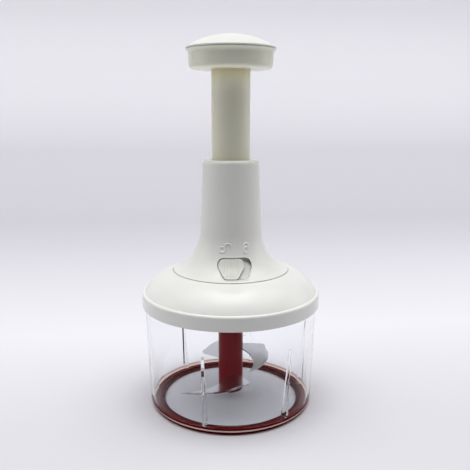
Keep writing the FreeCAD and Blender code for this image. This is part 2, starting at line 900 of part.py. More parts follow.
def make_plunger_foot():
    """Flange that slides along the housing's rails, with a sleeve up inside
    the tube. One notch lets the lock's tongue through."""
    inner = foot_sleeve_radius - foot_sleeve_wall
    foot = ring(foot_radius, inner, foot_bottom, foot_top)
    foot = foot.fuse(ring(foot_sleeve_radius, inner, foot_bottom, nut_bottom))
    notches = around(foot_slot(rail_radius, rail_thickness), rail_count, rail_turn())
    gate = foot_slot(tongue_tip_radius, tongue_arm_width)
    notches.append(spun(gate, LOCK_SIDE - lock_travel / 2))
    return foot.cut(notches + lug_boxes(screw_play)).removeSplitter()


def foot_slot(radius, width):
    """Slot in the foot's flange for something this wide that starts at a radius."""
    wide = width + 2 * key_play
    slot = Part.makeBox(foot_radius, wide, foot_thickness)
    slot.translate(Vec(radius - part_gap, -wide / 2, foot_bottom))
    return slot


def make_plunger_tube():
    tube = rod(tube_radius, foot_top, tube_top)
    tube = tube.cut(rod(tube_bore_radius, foot_top, nut_top))
    tube = tube.cut(rod(tube_bore_radius - tube_step, nut_top, tube_top - tube_plug))
    holes = [rod(screw_radius + screw_play, tube_top - tube_plug, tube_top, x, y)
             for x, y in knob_screw_places()]
    return tube.cut(holes)


def knob_screw_places():
    turns = [screw_turn + 360.0 * i / knob_screw_count for i in range(knob_screw_count)]
    return [polar(knob_screw_circle, turn) for turn in turns]


def knob_inside(z):
    """Radius of the knob's inner wall at height z."""
    share = (z - knob_bottom - knob_edge) / (knob_height - knob_edge)
    outer = knob_bottom_radius + (knob_side_radius - knob_bottom_radius) * share
    return outer - knob_wall


def knob_lip():
    """Concave arc that leaves the knob's side upright and flares to the lip."""
    out = knob_lip_radius - knob_side_radius
    rise = knob_lip_height - knob_lip_edge
    reach = (out ** 2 + rise ** 2) / (2 * out)
    half = math.atan2(out, rise)
    low = knob_top - knob_lip_height
    middle = (knob_side_radius + reach * (1 - math.cos(half)), low + reach * math.sin(half))
    return middle, (knob_lip_radius, knob_top - knob_lip_edge)


def make_knob_body():
    """Hollow palm knob whose side flares out to a lip, with a socket for the tube."""
    e = knob_edge
    k = bend(e)
    r = knob_bottom_radius
    socket = tube_radius + press_gap
    socket_outer = socket + knob_wall
    body = turned(
        (socket, knob_bottom),
        (r - e, knob_bottom),
        ((r - k, knob_bottom + k), (r, knob_bottom + e)),
        (knob_side_radius, knob_top - knob_lip_height),
        knob_lip(),
        (knob_lip_radius, knob_top),
        (knob_inside(knob_top), knob_top),
        (knob_inside(knob_bottom + knob_floor), knob_bottom + knob_floor),
        (socket_outer, knob_bottom + knob_floor),
        (socket_outer, tube_top + knob_floor),
        (0, tube_top + knob_floor),
        (0, tube_top),
        (socket, tube_top),
    )
    holes = [rod(screw_radius + screw_play, tube_top, tube_top + knob_floor, x, y)
             for x, y in knob_screw_places()]
    return body.cut(holes)


def cap_dome(inset, radius):
    """Height of the cap's dome at this radius, moved in by inset."""
    sphere = (cap_radius ** 2 + cap_rise ** 2) / (2 * cap_rise)
    centre = knob_top + seam_gap + cap_rim + cap_rise - sphere
    return centre + math.sqrt((sphere - inset) ** 2 - radius ** 2)


def make_knob_cap():
    """Domed cap that snaps into the knob by its skirt and overhangs it a little."""
    low = knob_top + seam_gap
    skirt_low = knob_top - cap_skirt
    skirt_outer = knob_inside(skirt_low) - press_gap
    skirt_inner = skirt_outer - knob_wall / 2
    e = cap_rim
    return turned(
        (skirt_inner, skirt_low),
        (skirt_outer, skirt_low),
        (skirt_outer, low),
        (cap_radius - e / 2, low),
        (cap_radius, low + e / 2),
        (cap_radius, low + e),
        ((cap_radius - bend(e), cap_dome(0, cap_radius - e) - bend(e)),
         (cap_radius - e, cap_dome(0, cap_radius - e))),
        ((cap_radius / 2, cap_dome(0, cap_radius / 2)), (0, cap_dome(0, 0))),
        (0, cap_dome(cap_wall, 0)),
        ((skirt_inner / 2, cap_dome(cap_wall, skirt_inner / 2)),
         (skirt_inner, cap_dome(cap_wall, skirt_inner))),
    )


def make_knob_screws():
    top = tube_top + knob_floor
    length = knob_floor + tube_plug - end_gap
    screws = []
    for x, y in knob_screw_places():
        shank = rod(screw_radius, top - length, top, x, y)
        head = rod(screw_head_radius, top, top + screw_head_height, x, y)
        screws.append(head.fuse(shank))
    return Part.makeCompound(screws)


def make_return_spring():
    """Open coil from the bearing plate up to the nut."""
    low = plate_top + wire_radius + press_gap
    high = nut_bottom - wire_radius - press_gap
    coil = Part.makeLongHelix((high - low) / spring_coils, high - low, spring_radius)
    coil.translate(Vec(0, 0, low))
    start = Vec(spring_radius, 0, low)
    wire = Part.Wire(Part.Circle(start, Vec(0, 1, 0), wire_radius).toShape())
    return Part.Wire(coil).makePipeShell([wire], True, True)


def make_screws_from_below(places):
    screws = [screw_from_below(x, y, floor_bottom) for x, y in places]
    return Part.makeCompound(screws)


def make_nodes():
    blades = make_blades()
    nodes = {
        "bowl": make_bowl(),
        "base_ring": make_base_ring(),
        "centre_pin": make_centre_pin(),
        "blade_hub": make_hub(blades),
        "lid": make_lid(),
        "lid_seal": make_lid_seal(),
        "thrust_washer": make_thrust_washer(),
        "drive_cup": make_drive_cup(),
        "ratchet_driver": make_ratchet_driver(),
        "spiral_shaft": make_spiral_shaft(),
        "bearing_plate": make_bearing_plate(),
        "plate_screws": make_screws_from_below(plate_screw_places()),
        "housing": make_housing(),
        "housing_screws": make_screws_from_below(housing_screw_places()),
        "return_spring": make_return_spring(),
        "drive_nut": make_drive_nut(),
        "plunger_foot": make_plunger_foot(),
        "plunger_tube": make_plunger_tube(),
        "knob_body": make_knob_body(),
        "knob_screws": make_knob_screws(),
        "knob_cap": make_knob_cap(),
        "lock_button": make_lock_button(),
        "lock_slider": make_lock_slider(),
    }
    nodes.update(blades)
    return nodes


def main():
    os.makedirs("parts", exist_ok=True)
    for name, shape in sorted(make_nodes().items()):
        box = shape.BoundBox
        print(f"{name:16s} valid {shape.isValid()} solids {len(shape.Solids)}"
              f" volume {shape.Volume:9.1f} z {box.ZMin:7.2f} {box.ZMax:7.2f}")
        shape.exportStep(f"parts/{name}.step")


main()
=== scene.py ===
# %% [markdown]
# # A hand-press food chopper
# A clear bowl stands on a dark red rubber ring. A white domed lid with a
# flared neck sits on it, and a plunger with a palm knob comes out of the neck.
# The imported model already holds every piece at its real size, so this lesson
# dresses that frame: it remakes the visible shells with smooth, softly
# rounded surfaces, and gives every piece a finish. The finishes come first,
# then the pieces from the table upwards, and then paper, light and camera.

# %% Load the frame
import json
import math

import bmesh
import bpy
from mathutils import Matrix, Vector

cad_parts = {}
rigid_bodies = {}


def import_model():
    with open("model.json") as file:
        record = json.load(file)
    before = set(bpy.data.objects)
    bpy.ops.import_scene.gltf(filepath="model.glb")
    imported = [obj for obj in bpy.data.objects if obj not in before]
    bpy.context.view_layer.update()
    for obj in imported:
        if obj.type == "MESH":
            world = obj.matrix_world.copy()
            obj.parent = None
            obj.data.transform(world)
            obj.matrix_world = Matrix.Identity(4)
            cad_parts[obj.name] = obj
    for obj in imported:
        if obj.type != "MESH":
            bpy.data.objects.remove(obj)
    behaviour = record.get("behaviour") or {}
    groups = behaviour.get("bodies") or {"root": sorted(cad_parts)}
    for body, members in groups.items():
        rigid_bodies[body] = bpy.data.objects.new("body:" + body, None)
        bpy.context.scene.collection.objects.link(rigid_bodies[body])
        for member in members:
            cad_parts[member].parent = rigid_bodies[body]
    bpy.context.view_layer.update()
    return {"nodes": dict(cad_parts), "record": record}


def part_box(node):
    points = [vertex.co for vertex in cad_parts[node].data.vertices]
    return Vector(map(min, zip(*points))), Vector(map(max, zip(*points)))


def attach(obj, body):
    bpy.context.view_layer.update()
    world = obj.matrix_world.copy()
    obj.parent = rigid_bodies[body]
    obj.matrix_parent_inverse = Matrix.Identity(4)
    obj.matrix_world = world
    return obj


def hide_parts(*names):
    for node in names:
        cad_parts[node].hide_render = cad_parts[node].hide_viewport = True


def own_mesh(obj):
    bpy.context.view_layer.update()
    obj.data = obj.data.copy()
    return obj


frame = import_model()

print("nodes in the frame:", len(frame["nodes"]))

# %% [markdown]
# ## Sizes
# Blender works in metres, and a small kitchen tool is easier to think about in
# millimetres, so one factor turns one into the other. The places come from the
# boxes of the nodes, so nothing has to be fitted by eye. What a box can't tell,
# such as a wall or a gap, is a number with a name in capitals.

# %% Read the sizes that the pieces share
MM = 0.001
PART_GAP = 0.3
BOWL_WALL = 2.4
SEAT_DEPTH = 1.7


def low(node):
    """Lowest height of a node, in millimetres."""
    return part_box(node)[0][2] / MM


def high(node):
    """Greatest height of a node, in millimetres."""
    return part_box(node)[1][2] / MM


def radius(node):
    """How far a node reaches along X: the radius of a round one."""
    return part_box(node)[1][0] / MM


bowl_floor_z = low("bowl")
bowl_top_z = high("bowl")
bowl_rim_r = radius("bowl")
seam_z = high("lid")
seat_z = seam_z - SEAT_DEPTH
seam_r = radius("housing")
lid_r = radius("lid")
tube_r = radius("plunger_tube")
knob_low_z = low("knob_body")
print(f"lid {lid_r:.1f}, seam {seam_r:.1f} at {seam_z:.1f}, tube {tube_r:.2f}")

# %% [markdown]
# ## Profiles
# Nearly every shell here is round, and was turned or moulded about one axis.
# In Blender that is a profile spun about Z. The profile is a wire of a few
# vertices, and a vertex bevel rounds the corners that need it before the spin,
# which is how a pattern maker thinks too: draw the section, soften it, turn it.
# A curve in a section is a run of points on a circle through three points.

# %% Arcs and profile wires
HOLD = 0.5


def circle_through(start, middle, end):
    """Centre and radius of the circle through three points."""
    (ax, ay), (bx, by), (cx, cy) = start, middle, end
    d = 2 * (ax * (by - cy) + bx * (cy - ay) + cx * (ay - by))
    a2, b2, c2 = ax * ax + ay * ay, bx * bx + by * by, cx * cx + cy * cy
    x = (a2 * (by - cy) + b2 * (cy - ay) + c2 * (ay - by)) / d
    y = (a2 * (cx - bx) + b2 * (ax - cx) + c2 * (bx - ax)) / d
    return x, y, math.hypot(ax - x, ay - y)


def arc(start, middle, end, count):
    """Points from start to end on the circle through three points."""
    x, y, reach = circle_through(start, middle, end)
    first = math.atan2(start[1] - y, start[0] - x)
    turn = math.atan2(end[1] - y, end[0] - x) - first
    turn = (turn + math.pi) % (2 * math.pi) - math.pi
    steps = [first + turn * i / count for i in range(count + 1)]
    return [(x + reach * math.cos(a), y + reach * math.sin(a)) for a in steps]


def soften(bm, geom, reach, segments=3, affect="EDGES", clamp=False):
    """Rounds edges, or the corners of a wire or a flat face."""
    bmesh.ops.bevel(bm, geom=geom, offset=reach, offset_type="OFFSET", segments=segments, profile=0.5,
                    affect=affect, material=-1, clamp_overlap=clamp)


def wire(points, rounds):
    """A bmesh with one closed wire through (radius, height) points. rounds gives
    the corners to soften: {index: how far the round reaches along each side}.
    A little beyond a round comes one more vertex, which keeps the round's
    smooth shading off the long face beside it."""
    bm = bmesh.new()
    corners = [Vector((r, 0, z)) for r, z in points]
    verts, soft = [], []
    for index, here in enumerate(corners):
        reach = rounds.get(index, 0.0)
        for towards in (corners[index - 1], here, corners[(index + 1) % len(corners)]):
            gap, side = reach + HOLD, (here - towards).length
            if towards is here:
                verts.append(bm.verts.new(here))
                soft.append((verts[-1], reach))
            elif reach and side > 3 * gap:
                verts.append(bm.verts.new(here.lerp(towards, gap / side)))
    for a, b in zip(verts, verts[1:] + verts[:1]):
        bm.edges.new((a, b))
    for vert, reach in soft:
        if reach:
            soften(bm, [vert], reach, segments=5, affect="VERTICES")
    return bm


quarter = arc((1, 0), (0.707, 0.707), (0, 1), 3)
print("a quarter turn in three steps:", [(round(x, 2), round(y, 2)) for x, y in quarter])

# %% [markdown]
# ## A lathe for round pieces
# `spin` turns a wire into a skin. It leaves doubled vertices at the seam and on
# the axis, so they are merged before the normals are made to point outwards.
# Every piece then goes from millimetres to metres and gets smooth shading, with
# sharp edges where two faces meet steeply.

# %% Lathe
MERGE = 1e-4


def merged(bm, distance=MERGE):
    """Merges doubled vertices."""
    bmesh.ops.remove_doubles(bm, verts=bm.verts[:], dist=distance)
    return bm


def turned(bm, steps):
    """Spins a wire once round Z, and closes the skin's seam and poles."""
    bmesh.ops.spin(bm, geom=bm.verts[:] + bm.edges[:], cent=(0, 0, 0), axis=(0, 0, 1),
                   angle=2 * math.pi, steps=steps, use_merge=True)
    return merged(bm)


def face_out(bm):
    """Makes all the faces point outwards."""
    bmesh.ops.recalc_face_normals(bm, faces=bm.faces[:])
    return bm


def shown(name, mesh):
    """A smooth-shaded object in the scene."""
    for face in mesh.polygons:
        face.use_smooth = True
    piece = bpy.data.objects.new(name, mesh)
    bpy.context.collection.objects.link(piece)
    return piece


def mesh_of(name, bm):
    """Turns a bmesh into a mesh, and frees it."""
    mesh = bpy.data.meshes.new(name)
    bm.to_mesh(mesh)
    bm.free()
    return mesh


def finished(name, bm, sharp=35.0):
    """Turns a bmesh in millimetres into a smooth-shaded object in metres."""
    bmesh.ops.scale(bm, vec=(MM, MM, MM), verts=bm.verts[:])
    piece = shown(name, mesh_of(name, bm))
    piece.data.set_sharp_from_angle(angle=math.radians(sharp))
    print(f"{name}: {len(piece.data.polygons)} faces")
    return piece


def lathe(name, points, rounds, steps=160):
    """A smooth closed solid turned about Z."""
    return finished(name, face_out(turned(wire(points, rounds), steps)))


print("corners closer than", MERGE, "mm are merged")

# %% [markdown]
# ## Dressing a node
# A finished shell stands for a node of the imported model. It takes over the
# node's body, so that it moves with the joints, and its material slot, and the
# node itself isn't shown any more.

# %% Dressing
BODY_NODES = frame["record"]["behaviour"]["bodies"]


def dress(piece, node, material):
    """The piece stands for a node, rides on its body and takes a finish."""
    piece.data.materials.append(material)
    body = next(b for b, names in BODY_NODES.items() if node in names)
    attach(piece, body)
    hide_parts(node)


print("nodes on each body:", {body: len(names) for body, names in BODY_NODES.items()})

# %% [markdown]
# ## Tools for finishes
# A finish is a small graph of nodes that ends in a Principled shader. The same
# few steps come back in all of them: a colour given as display values, a noise
# on Object coordinates, a ramp that turns it into tones, a range for the
# roughness, and a bump. Each step is a helper that gives back its output, and
# `feed` fills a node's inputs, so a finish reads like a recipe.

# %% Node helpers
def colour(red, green, blue):
    """Linear colour from display values between 0 and 255."""
    def linear(v):
        v = v / 255
        return v / 12.92 if v <= 0.04045 else ((v + 0.055) / 1.055) ** 2.4
    return (linear(red), linear(green), linear(blue), 1.0)


def shade(tint, factor):
    """The same colour, darker."""
    return tuple(c * factor for c in tint[:3]) + (1.0,)


def feed(tree, node, inputs):
    """Fills a node's inputs: with a value, or with another node's output."""
    for socket, value in inputs.items():
        if isinstance(value, bpy.types.NodeSocket):
            tree.links.new(value, node.inputs[socket])
        else:
            node.inputs[socket].default_value = value
    return node


def add(tree, kind, inputs):
    """A new node with its inputs filled."""
    return feed(tree, tree.nodes.new("ShaderNode" + kind), inputs)


def noise(tree, place, scale, detail=2.0, roughness=0.5):
    """A noise pattern on the coordinates."""
    return add(tree, "TexNoise", {"Vector": place, "Scale": scale, "Detail": detail,
                                  "Roughness": roughness}).outputs["Fac"]


def ramp(tree, value, stops):
    """Turns a value into colours, from (position, colour) stops."""
    node = add(tree, "ValToRGB", {"Fac": value})
    ends = node.color_ramp.elements
    ends[0].position, ends[0].color = stops[0]
    ends[1].position, ends[1].color = stops[-1]
    for position, tint in stops[1:-1]:
        ends.new(position).color = tint
    return node.outputs["Color"]


def spread(tree, value, least, most):
    """Maps a 0 to 1 value between two limits."""
    return add(tree, "MapRange", {"Value": value, "To Min": least, "To Max": most}).outputs["Result"]


def share_between(tree, value, first, last):
    """How far a value is from first to last, as 0 to 1."""
    return add(tree, "MapRange", {"Value": value, "From Min": first, "From Max": last}).outputs["Result"]


def bump(tree, height, strength, distance, below=(0.0, 0.0, 0.0)):
    """A normal from a height, on top of another normal if there is one."""
    return add(tree, "Bump", {"Height": height, "Strength": strength, "Distance": distance,
                              "Normal": below}).outputs["Normal"]


def new_material(name):
    """A material, its node tree, its shader and its Object coordinates."""
    material = bpy.data.materials.new(name)
    material.use_nodes = True
    tree = material.node_tree
    place = add(tree, "TexCoord", {}).outputs["Object"]
    return material, tree, tree.nodes["Principled BSDF"], place


print("display 128 is", round(colour(128, 128, 128)[0], 3), "in linear light")

# %% [markdown]
# ## Moulded plastics and rubber
# These share one idea: a Principled shader whose colour drifts very slightly,
# because moulded plastic is never perfectly even, and a bump at two scales, a
# slow one for the flow of the melt and a quick one for the texture of the tool.
# The knob and the tube are a little creamier than the lid, the cap is duller,
# and rubber has a rough surface.

# %% Plastics and rubber
def moulded_plastic(name, tint, gloss, drift=0.03, grain=0.02, shine=0.3):
    """Moulded plastic with a slow drift in colour and a fine grain."""
    material, tree, shader, place = new_material(name)
    slow = noise(tree, place, 22.0)
    fine = noise(tree, place, 1400.0, detail=1.0)
    flow = bump(tree, slow, 0.25, 0.0006)
    feed(tree, shader, {
        "Base Color": ramp(tree, slow, [(0.3, shade(tint, 1 - drift)), (0.7, tint)]),
        "Roughness": spread(tree, slow, gloss - 0.03, gloss + 0.04),
        "Normal": bump(tree, fine, grain, 0.0001, flow),
        "IOR": 1.49, "Specular IOR Level": shine})
    return material


WHITE = colour(242, 242, 237)
white_plastic = moulded_plastic("white_plastic", WHITE, 0.22)
knob_plastic = moulded_plastic("knob_plastic", colour(239, 239, 220), 0.24)
cap_plastic = moulded_plastic("cap_plastic", colour(235, 235, 230), 0.3, shine=0.12)
tube_plastic = moulded_plastic("tube_plastic", colour(237, 236, 214), 0.24)
button_plastic = moulded_plastic("button_plastic", colour(228, 229, 221), 0.3)
# a whiter copy of the white plastic: painted highlight on the padlock marks
highlit_mark_plastic = moulded_plastic("highlit_mark_plastic", colour(250, 250, 246), 0.1, shine=0.8)
inner_plastic = moulded_plastic("inner_plastic", colour(222, 223, 218), 0.42)
# painted highlight: a pale pinkish plastic for the bowl's foot edge, with a painted reflection of the red
# ring
painted_glint_clear = moulded_plastic("painted_glint_clear", colour(242, 212, 203), 0.5)
red_plastic = moulded_plastic("red_plastic", colour(108, 3, 12), 0.3, drift=0.12, shine=0.12)
seal_rubber = moulded_plastic("seal_rubber", colour(214, 214, 208), 0.6)
red_rubber = moulded_plastic("red_rubber", colour(104, 3, 7), 0.6, drift=0.1, grain=0.06, shine=0.06)
print("finishes so far:", len(bpy.data.materials))

# %% [markdown]
# ## Clear plastic
# The bowl could be faked with a see-through white, but then the fins would lose
# the bright and dark lines that tell the eye how thick they are, so the shader
# really transmits light. A clear plastic bends light by an index of about 1.5.
# Here it is a gentle 1.2 in the walls and 1.05 in the floor, and a grey Specular
# Tint weakens the reflections, because the full values bury the blades under
# stripes. A Transparent shader takes over for shadow rays, so that light gets
# in. Faint swirls in the roughness stand for washing and handling.

# %% Clear plastic
CLEAR = (0.98, 0.985, 0.99, 1.0)
WEAK_SHINE = (0.4, 0.4, 0.4, 1.0)
LET_THROUGH = (0.88, 0.88, 0.89, 1.0)


def clear_moulding(name, bend):
    """Clear plastic with a clouded tint and washed-in swirls."""
    material, tree, shader, place = new_material(name)
    swirls = noise(tree, place, 90.0, detail=4.0, roughness=0.6)
    wear = ramp(tree, swirls, [(0.55, shade(WHITE, 0.0)), (0.8, WHITE)])
    cloud = noise(tree, place, 14.0)
    feed(tree, shader, {
        "Base Color": ramp(tree, cloud, [(0.35, shade(CLEAR, 0.985)), (0.65, CLEAR)]),
        "Roughness": spread(tree, wear, 0.015, 0.06),
        "Normal": bump(tree, cloud, 0.12, 0.0006),
        "Transmission Weight": 1.0, "IOR": bend, "Specular Tint": WEAK_SHINE})
    through = add(tree, "BsdfTransparent", {"Color": LET_THROUGH})
    mix = add(tree, "MixShader", {"Fac": add(tree, "LightPath", {}).outputs["Is Shadow Ray"],
                                  1: shader.outputs["BSDF"], 2: through.outputs["BSDF"]})
    feed(tree, tree.nodes["Material Output"], {"Surface": mix.outputs["Shader"]})
    return material


clear_plastic = clear_moulding("clear_plastic", bend=1.2)
clear_floor = clear_moulding("clear_floor", bend=1.05)
print("clear finishes:", clear_plastic.name, "and", clear_floor.name)

# %% [markdown]
# ## Steel
# There are three steels. The blades are rolled sheet, so their grain is a set
# of long scratches, made by stretching a noise along one axis. The ground
# shaft and spring have a finer grain round their axis, and the screws are zinc
# plated, duller and a little blotchy.

# %% Steel
def metal(name, tint, gloss, stretch, scale, scratch):
    """Bare metal whose noise is stretched by a Mapping node into a grain."""
    material, tree, shader, place = new_material(name)
    mapped = add(tree, "Mapping", {"Vector": place, "Scale": stretch}).outputs["Vector"]
    grain = noise(tree, mapped, scale, detail=4.0, roughness=0.65)
    feed(tree, shader, {
        "Base Color": ramp(tree, grain, [(0.3, shade(tint, 0.82)), (0.7, tint)]),
        "Roughness": spread(tree, noise(tree, place, 60.0), gloss, gloss + 0.12),
        "Normal": bump(tree, grain, scratch, 0.0001), "Metallic": 1.0})
    return material


steel = metal("steel", colour(214, 215, 217), 0.16, (1, 1, 14), 160.0, 0.12)
blade_steel = metal("blade_steel", colour(222, 223, 226), 0.12, (1, 14, 1), 120.0, 0.1)
screw_steel = metal("screw_steel", colour(186, 187, 186), 0.3, (1, 1, 1), 300.0, 0.15)
print("finishes now:", len(bpy.data.materials))

# %% [markdown]
# ## The base ring
# A soft rubber ring under the bowl keeps it from sliding. It has a tongue that
# presses into a groove in the bowl's floor. A turned profile with rounded
# edges gives it, and a shallow gutter in its underside, as such rings have,
# lets it grip the table on two lips.

# %% Base ring
RING_WIDTH = 9.8
TONGUE_HALF = 1.2
GUTTER = ((-1.6, 0), (-1.2, 0.5), (1.2, 0.5), (1.6, 0))
ring_r = radius("base_ring")
ring_in_r = ring_r - RING_WIDTH
ring_top_z = bowl_floor_z
tongue_r = (ring_r + ring_in_r) / 2
tongue_top_z = high("base_ring")
ring_section = [(ring_in_r, 0)] + [(tongue_r + x, z) for x, z in GUTTER]
ring_section += [(ring_r, 0), (ring_r, ring_top_z), (tongue_r + TONGUE_HALF, ring_top_z),
                 (tongue_r + TONGUE_HALF, tongue_top_z), (tongue_r - TONGUE_HALF, tongue_top_z),
                 (tongue_r - TONGUE_HALF, ring_top_z), (ring_in_r, ring_top_z)]
base_ring = lathe("rubber_base_ring", ring_section, {0: 0.3, 5: 0.6, 6: 0.6, 11: 0.3})
dress(base_ring, "base_ring", red_rubber)

# %% [markdown]
# ## The bowl
# The bowl is one clear moulding: a wall that leans out a little, a flat floor
# with a rounded corner, a boss for the centre pin and six upright fins that
# stop the food from going round with the blades. The shell is a lathe job, and
# the fins grow out of it: each one is a single column of the inner wall's
# faces, extruded inwards, so wall and fins stay one closed solid. Separate
# pieces pushed into the wall would leave false surfaces inside the plastic.

# %% Bowl sizes
FOOT_R = 69.8
BOSS_R = 7.5
FLOOR_WALL = 2.6
BOSS_TOP = 4.6
CORNER_R = 2.5
CORNER_IN = 0.73
GROOVE_ROOM = 0.05
FIN_COUNT = 6
FIN_TURN = math.radians(-53.6)
FIN_TOP = 64.0
FIN_DEPTH = (5.6, 0.6)
pin_r = radius("centre_pin")
pin_low_z = low("centre_pin")
inside_z = bowl_floor_z + FLOOR_WALL
corner_z = inside_z + CORNER_R


def bowl_r(z):
    """Outer radius of the bowl's wall at a height."""
    return FOOT_R + (bowl_rim_r - FOOT_R) * (z - bowl_floor_z) / (bowl_top_z - bowl_floor_z)


def inner_wall(z):
    """Point of the wall's inner face at a height."""
    return (bowl_r(z) - BOWL_WALL, z)


fin_low_r = inner_wall(inside_z)[0] - FIN_DEPTH[0]
print(f"the wall leans out from {bowl_r(bowl_floor_z):.1f} to {bowl_r(bowl_top_z):.1f}")

# %% [markdown]
# The section goes along the underside with its groove for the ring's tongue, up
# the outside, down the inside in rows for the fins, round the corner and over
# the boss. The shell is then turned until a column of faces, and not an edge,
# lies in each fin's direction.

# %% Bowl shell
BOWL_STEPS = 180
FIN_ROWS = 12
groove = TONGUE_HALF + GROOVE_ROOM
groove_z = tongue_top_z + GROOVE_ROOM
corner_r = inner_wall(corner_z)[0]
boss_z = bowl_floor_z + BOSS_TOP
rows = [corner_z + (FIN_TOP - corner_z) * i / FIN_ROWS for i in range(FIN_ROWS + 1)]
section = [(0, bowl_floor_z), (tongue_r - groove, bowl_floor_z), (tongue_r - groove, groove_z),
           (tongue_r + groove, groove_z), (tongue_r + groove, bowl_floor_z), (FOOT_R, bowl_floor_z),
           (bowl_rim_r, bowl_top_z), (bowl_rim_r - BOWL_WALL, bowl_top_z)]
section += [inner_wall(z) for z in reversed(rows)]
section += arc((corner_r, corner_z), (corner_r - CORNER_IN, inside_z + CORNER_IN),
               (corner_r - CORNER_R, inside_z), 5)[1:]
section += [(fin_low_r, inside_z), (BOSS_R, inside_z), (BOSS_R, boss_z), (pin_r, boss_z),
            (pin_r, pin_low_z), (0, pin_low_z)]
shell = turned(wire(section, {5: 2.2, 6: 0.7, 7: 0.7}), BOWL_STEPS)
half_step = math.pi / BOWL_STEPS
bmesh.ops.rotate(shell, verts=shell.verts[:], cent=(0, 0, 0),
                 matrix=Matrix.Rotation(FIN_TURN - half_step, 3, "Z"))
print("bowl section:", len(section), "corners")

# %% [markdown]
# The faces for a fin are found by where their middles are: close to the line
# in the fin's direction, inside the wall's middle, and under the fin's top.
# After the extrusion the new corners move in to the fin's straight inner edge.
# At the floor the last row doesn't move at all, so merging closes the fin there.

# %% Grow the fins
NEAR = 0.01
BESIDE = 0.6


def new_verts(extruded):
    """The vertices among what an extrusion made."""
    return [item for item in extruded["geom"] if isinstance(item, bmesh.types.BMVert)]


def fin_edge(z):
    """Radius of the fin's inner edge at a height."""
    share = (z - inside_z) / (FIN_TOP - inside_z)
    return inner_wall(z)[0] - (FIN_DEPTH[0] + (FIN_DEPTH[1] - FIN_DEPTH[0]) * share)


def fin_column(out):
    """The column of inner faces in the direction out."""
    side = Vector((-out.y, out.x, 0))
    column = []
    for face in shell.faces:
        middle = face.calc_center_median()
        inside = fin_low_r < middle.dot(out) < bowl_r(middle.z) - BOWL_WALL / 2
        upright = inside_z - NEAR < middle.z < FIN_TOP
        if abs(middle.dot(side)) < BESIDE and inside and upright:
            column.append(face)
    return column


def grow_fin(direction):
    """Extrudes a column of the wall into a fin."""
    out = Vector((math.cos(direction), math.sin(direction), 0))
    for vert in new_verts(bmesh.ops.extrude_face_region(shell, geom=fin_column(out))):
        r = vert.co.dot(out)
        if vert.co.z < corner_z:
            slide = (r - fin_low_r) / (corner_r - fin_low_r)
            vert.co.z = inside_z + slide * (corner_z - inside_z)
        if r - fin_low_r > NEAR:
            vert.co -= out * (r - fin_edge(vert.co.z))


for number in range(FIN_COUNT):
    grow_fin(FIN_TURN + 2 * math.pi * number / FIN_COUNT)
merged(shell, 10 * MERGE)
print("bowl with fins:", len(shell.faces), "faces")

# %% [markdown]
# A moulded fin has no knife-sharp edges, and its soft edges are what catches
# the light. So the long inner edges are found, again by where they are, and
# bevelled before the mesh is finished.

# %% Soften the fins' edges
LEVEL = 0.2
ON_EDGE = 0.05
FIN_SOFT = 0.45


def on_fin_edge(edge):
    """True for an edge that runs up a fin's inner side."""
    a, b = (v.co for v in edge.verts)
    if abs(a.z - b.z) < LEVEL or min(a.z, b.z) < inside_z - NEAR or max(a.z, b.z) > FIN_TOP + NEAR:
        return False
    return all(abs(p.to_2d().length - fin_edge(p.z)) < ON_EDGE for p in (a, b))


fin_edges = [edge for edge in shell.edges if on_fin_edge(edge)]
soften(shell, fin_edges, FIN_SOFT, clamp=True)
bowl = finished("clear_bowl", face_out(shell), sharp=40.0)
dress(bowl, "bowl", clear_plastic)
print("softened", len(fin_edges), "edges")

# %% [markdown]
# The bowl wears three finishes: the floor bends light less than the walls, and the foot's outer edge gets a
# pale pinkish matt plastic, a painted highlight with a painted reflection of the red ring, for the bright
# line that light makes along that corner. Each face picks its material slot by where its centre is.

# %% Three finishes on the bowl
FLOOR_SLOT, GLINT_SLOT = 1, 2
FLOOR_MARGIN = 2.2
FLOOR_RISE = 0.3
GLINT_HEIGHT = 2.0
bowl.data.materials.append(clear_floor)
bowl.data.materials.append(painted_glint_clear)
for face in bowl.data.polygons:
    height = face.center.z / MM
    out = face.center.to_2d().length / MM
    if height < corner_z + FLOOR_RISE and out < FOOT_R - FLOOR_MARGIN:
        face.material_index = FLOOR_SLOT
    # the foot's outer edge takes the painted highlight
    elif height < bowl_floor_z + GLINT_HEIGHT:
        face.material_index = GLINT_SLOT
picked = [face.material_index for face in bowl.data.polygons]
print("faces of floor and worn foot:", picked.count(FLOOR_SLOT), picked.count(GLINT_SLOT))

# %% [markdown]
# ## The blade column
# A dark red column stands on the centre pin and carries the three blades. Its
# six-sided head goes up into the drive. The round part is turned, and the head
# is a circle of six corners, extruded and bevelled. The blades themselves are
# flat steel sheet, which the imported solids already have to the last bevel, so
# they stay and only get their steel.

# %% Blade column
PIN_PLAY = 0.06
HEAD_TALL = 10.0
HEAD_ACROSS = 14.0
HEAD_SUNK = 0.5
hub_r = radius("blade_hub")
hub_low_z = low("blade_hub")
hub_bore_r = pin_r + PIN_PLAY
bore_top_z = high("centre_pin") + PART_GAP
head_top_z = high("blade_hub")
head_low_z = head_top_z - HEAD_TALL
hub_section = [(hub_bore_r, hub_low_z), (hub_r, hub_low_z), (hub_r, head_low_z), (0, head_low_z),
               (0, bore_top_z), (hub_bore_r, bore_top_z)]
hub = face_out(turned(wire(hub_section, {1: 0.8, 2: 0.8}), 96))
head_place = Matrix.Translation((0, 0, head_low_z - HEAD_SUNK)) @ Matrix.Rotation(math.radians(30), 4, "Z")
head = bmesh.ops.create_circle(hub, cap_ends=True, segments=6, radius=HEAD_ACROSS / math.sqrt(3),
                               matrix=head_place)["verts"]
head_face = list({face for vert in head for face in vert.link_faces})
if head_face[0].normal.z > 0:
    bmesh.ops.reverse_faces(hub, faces=head_face)
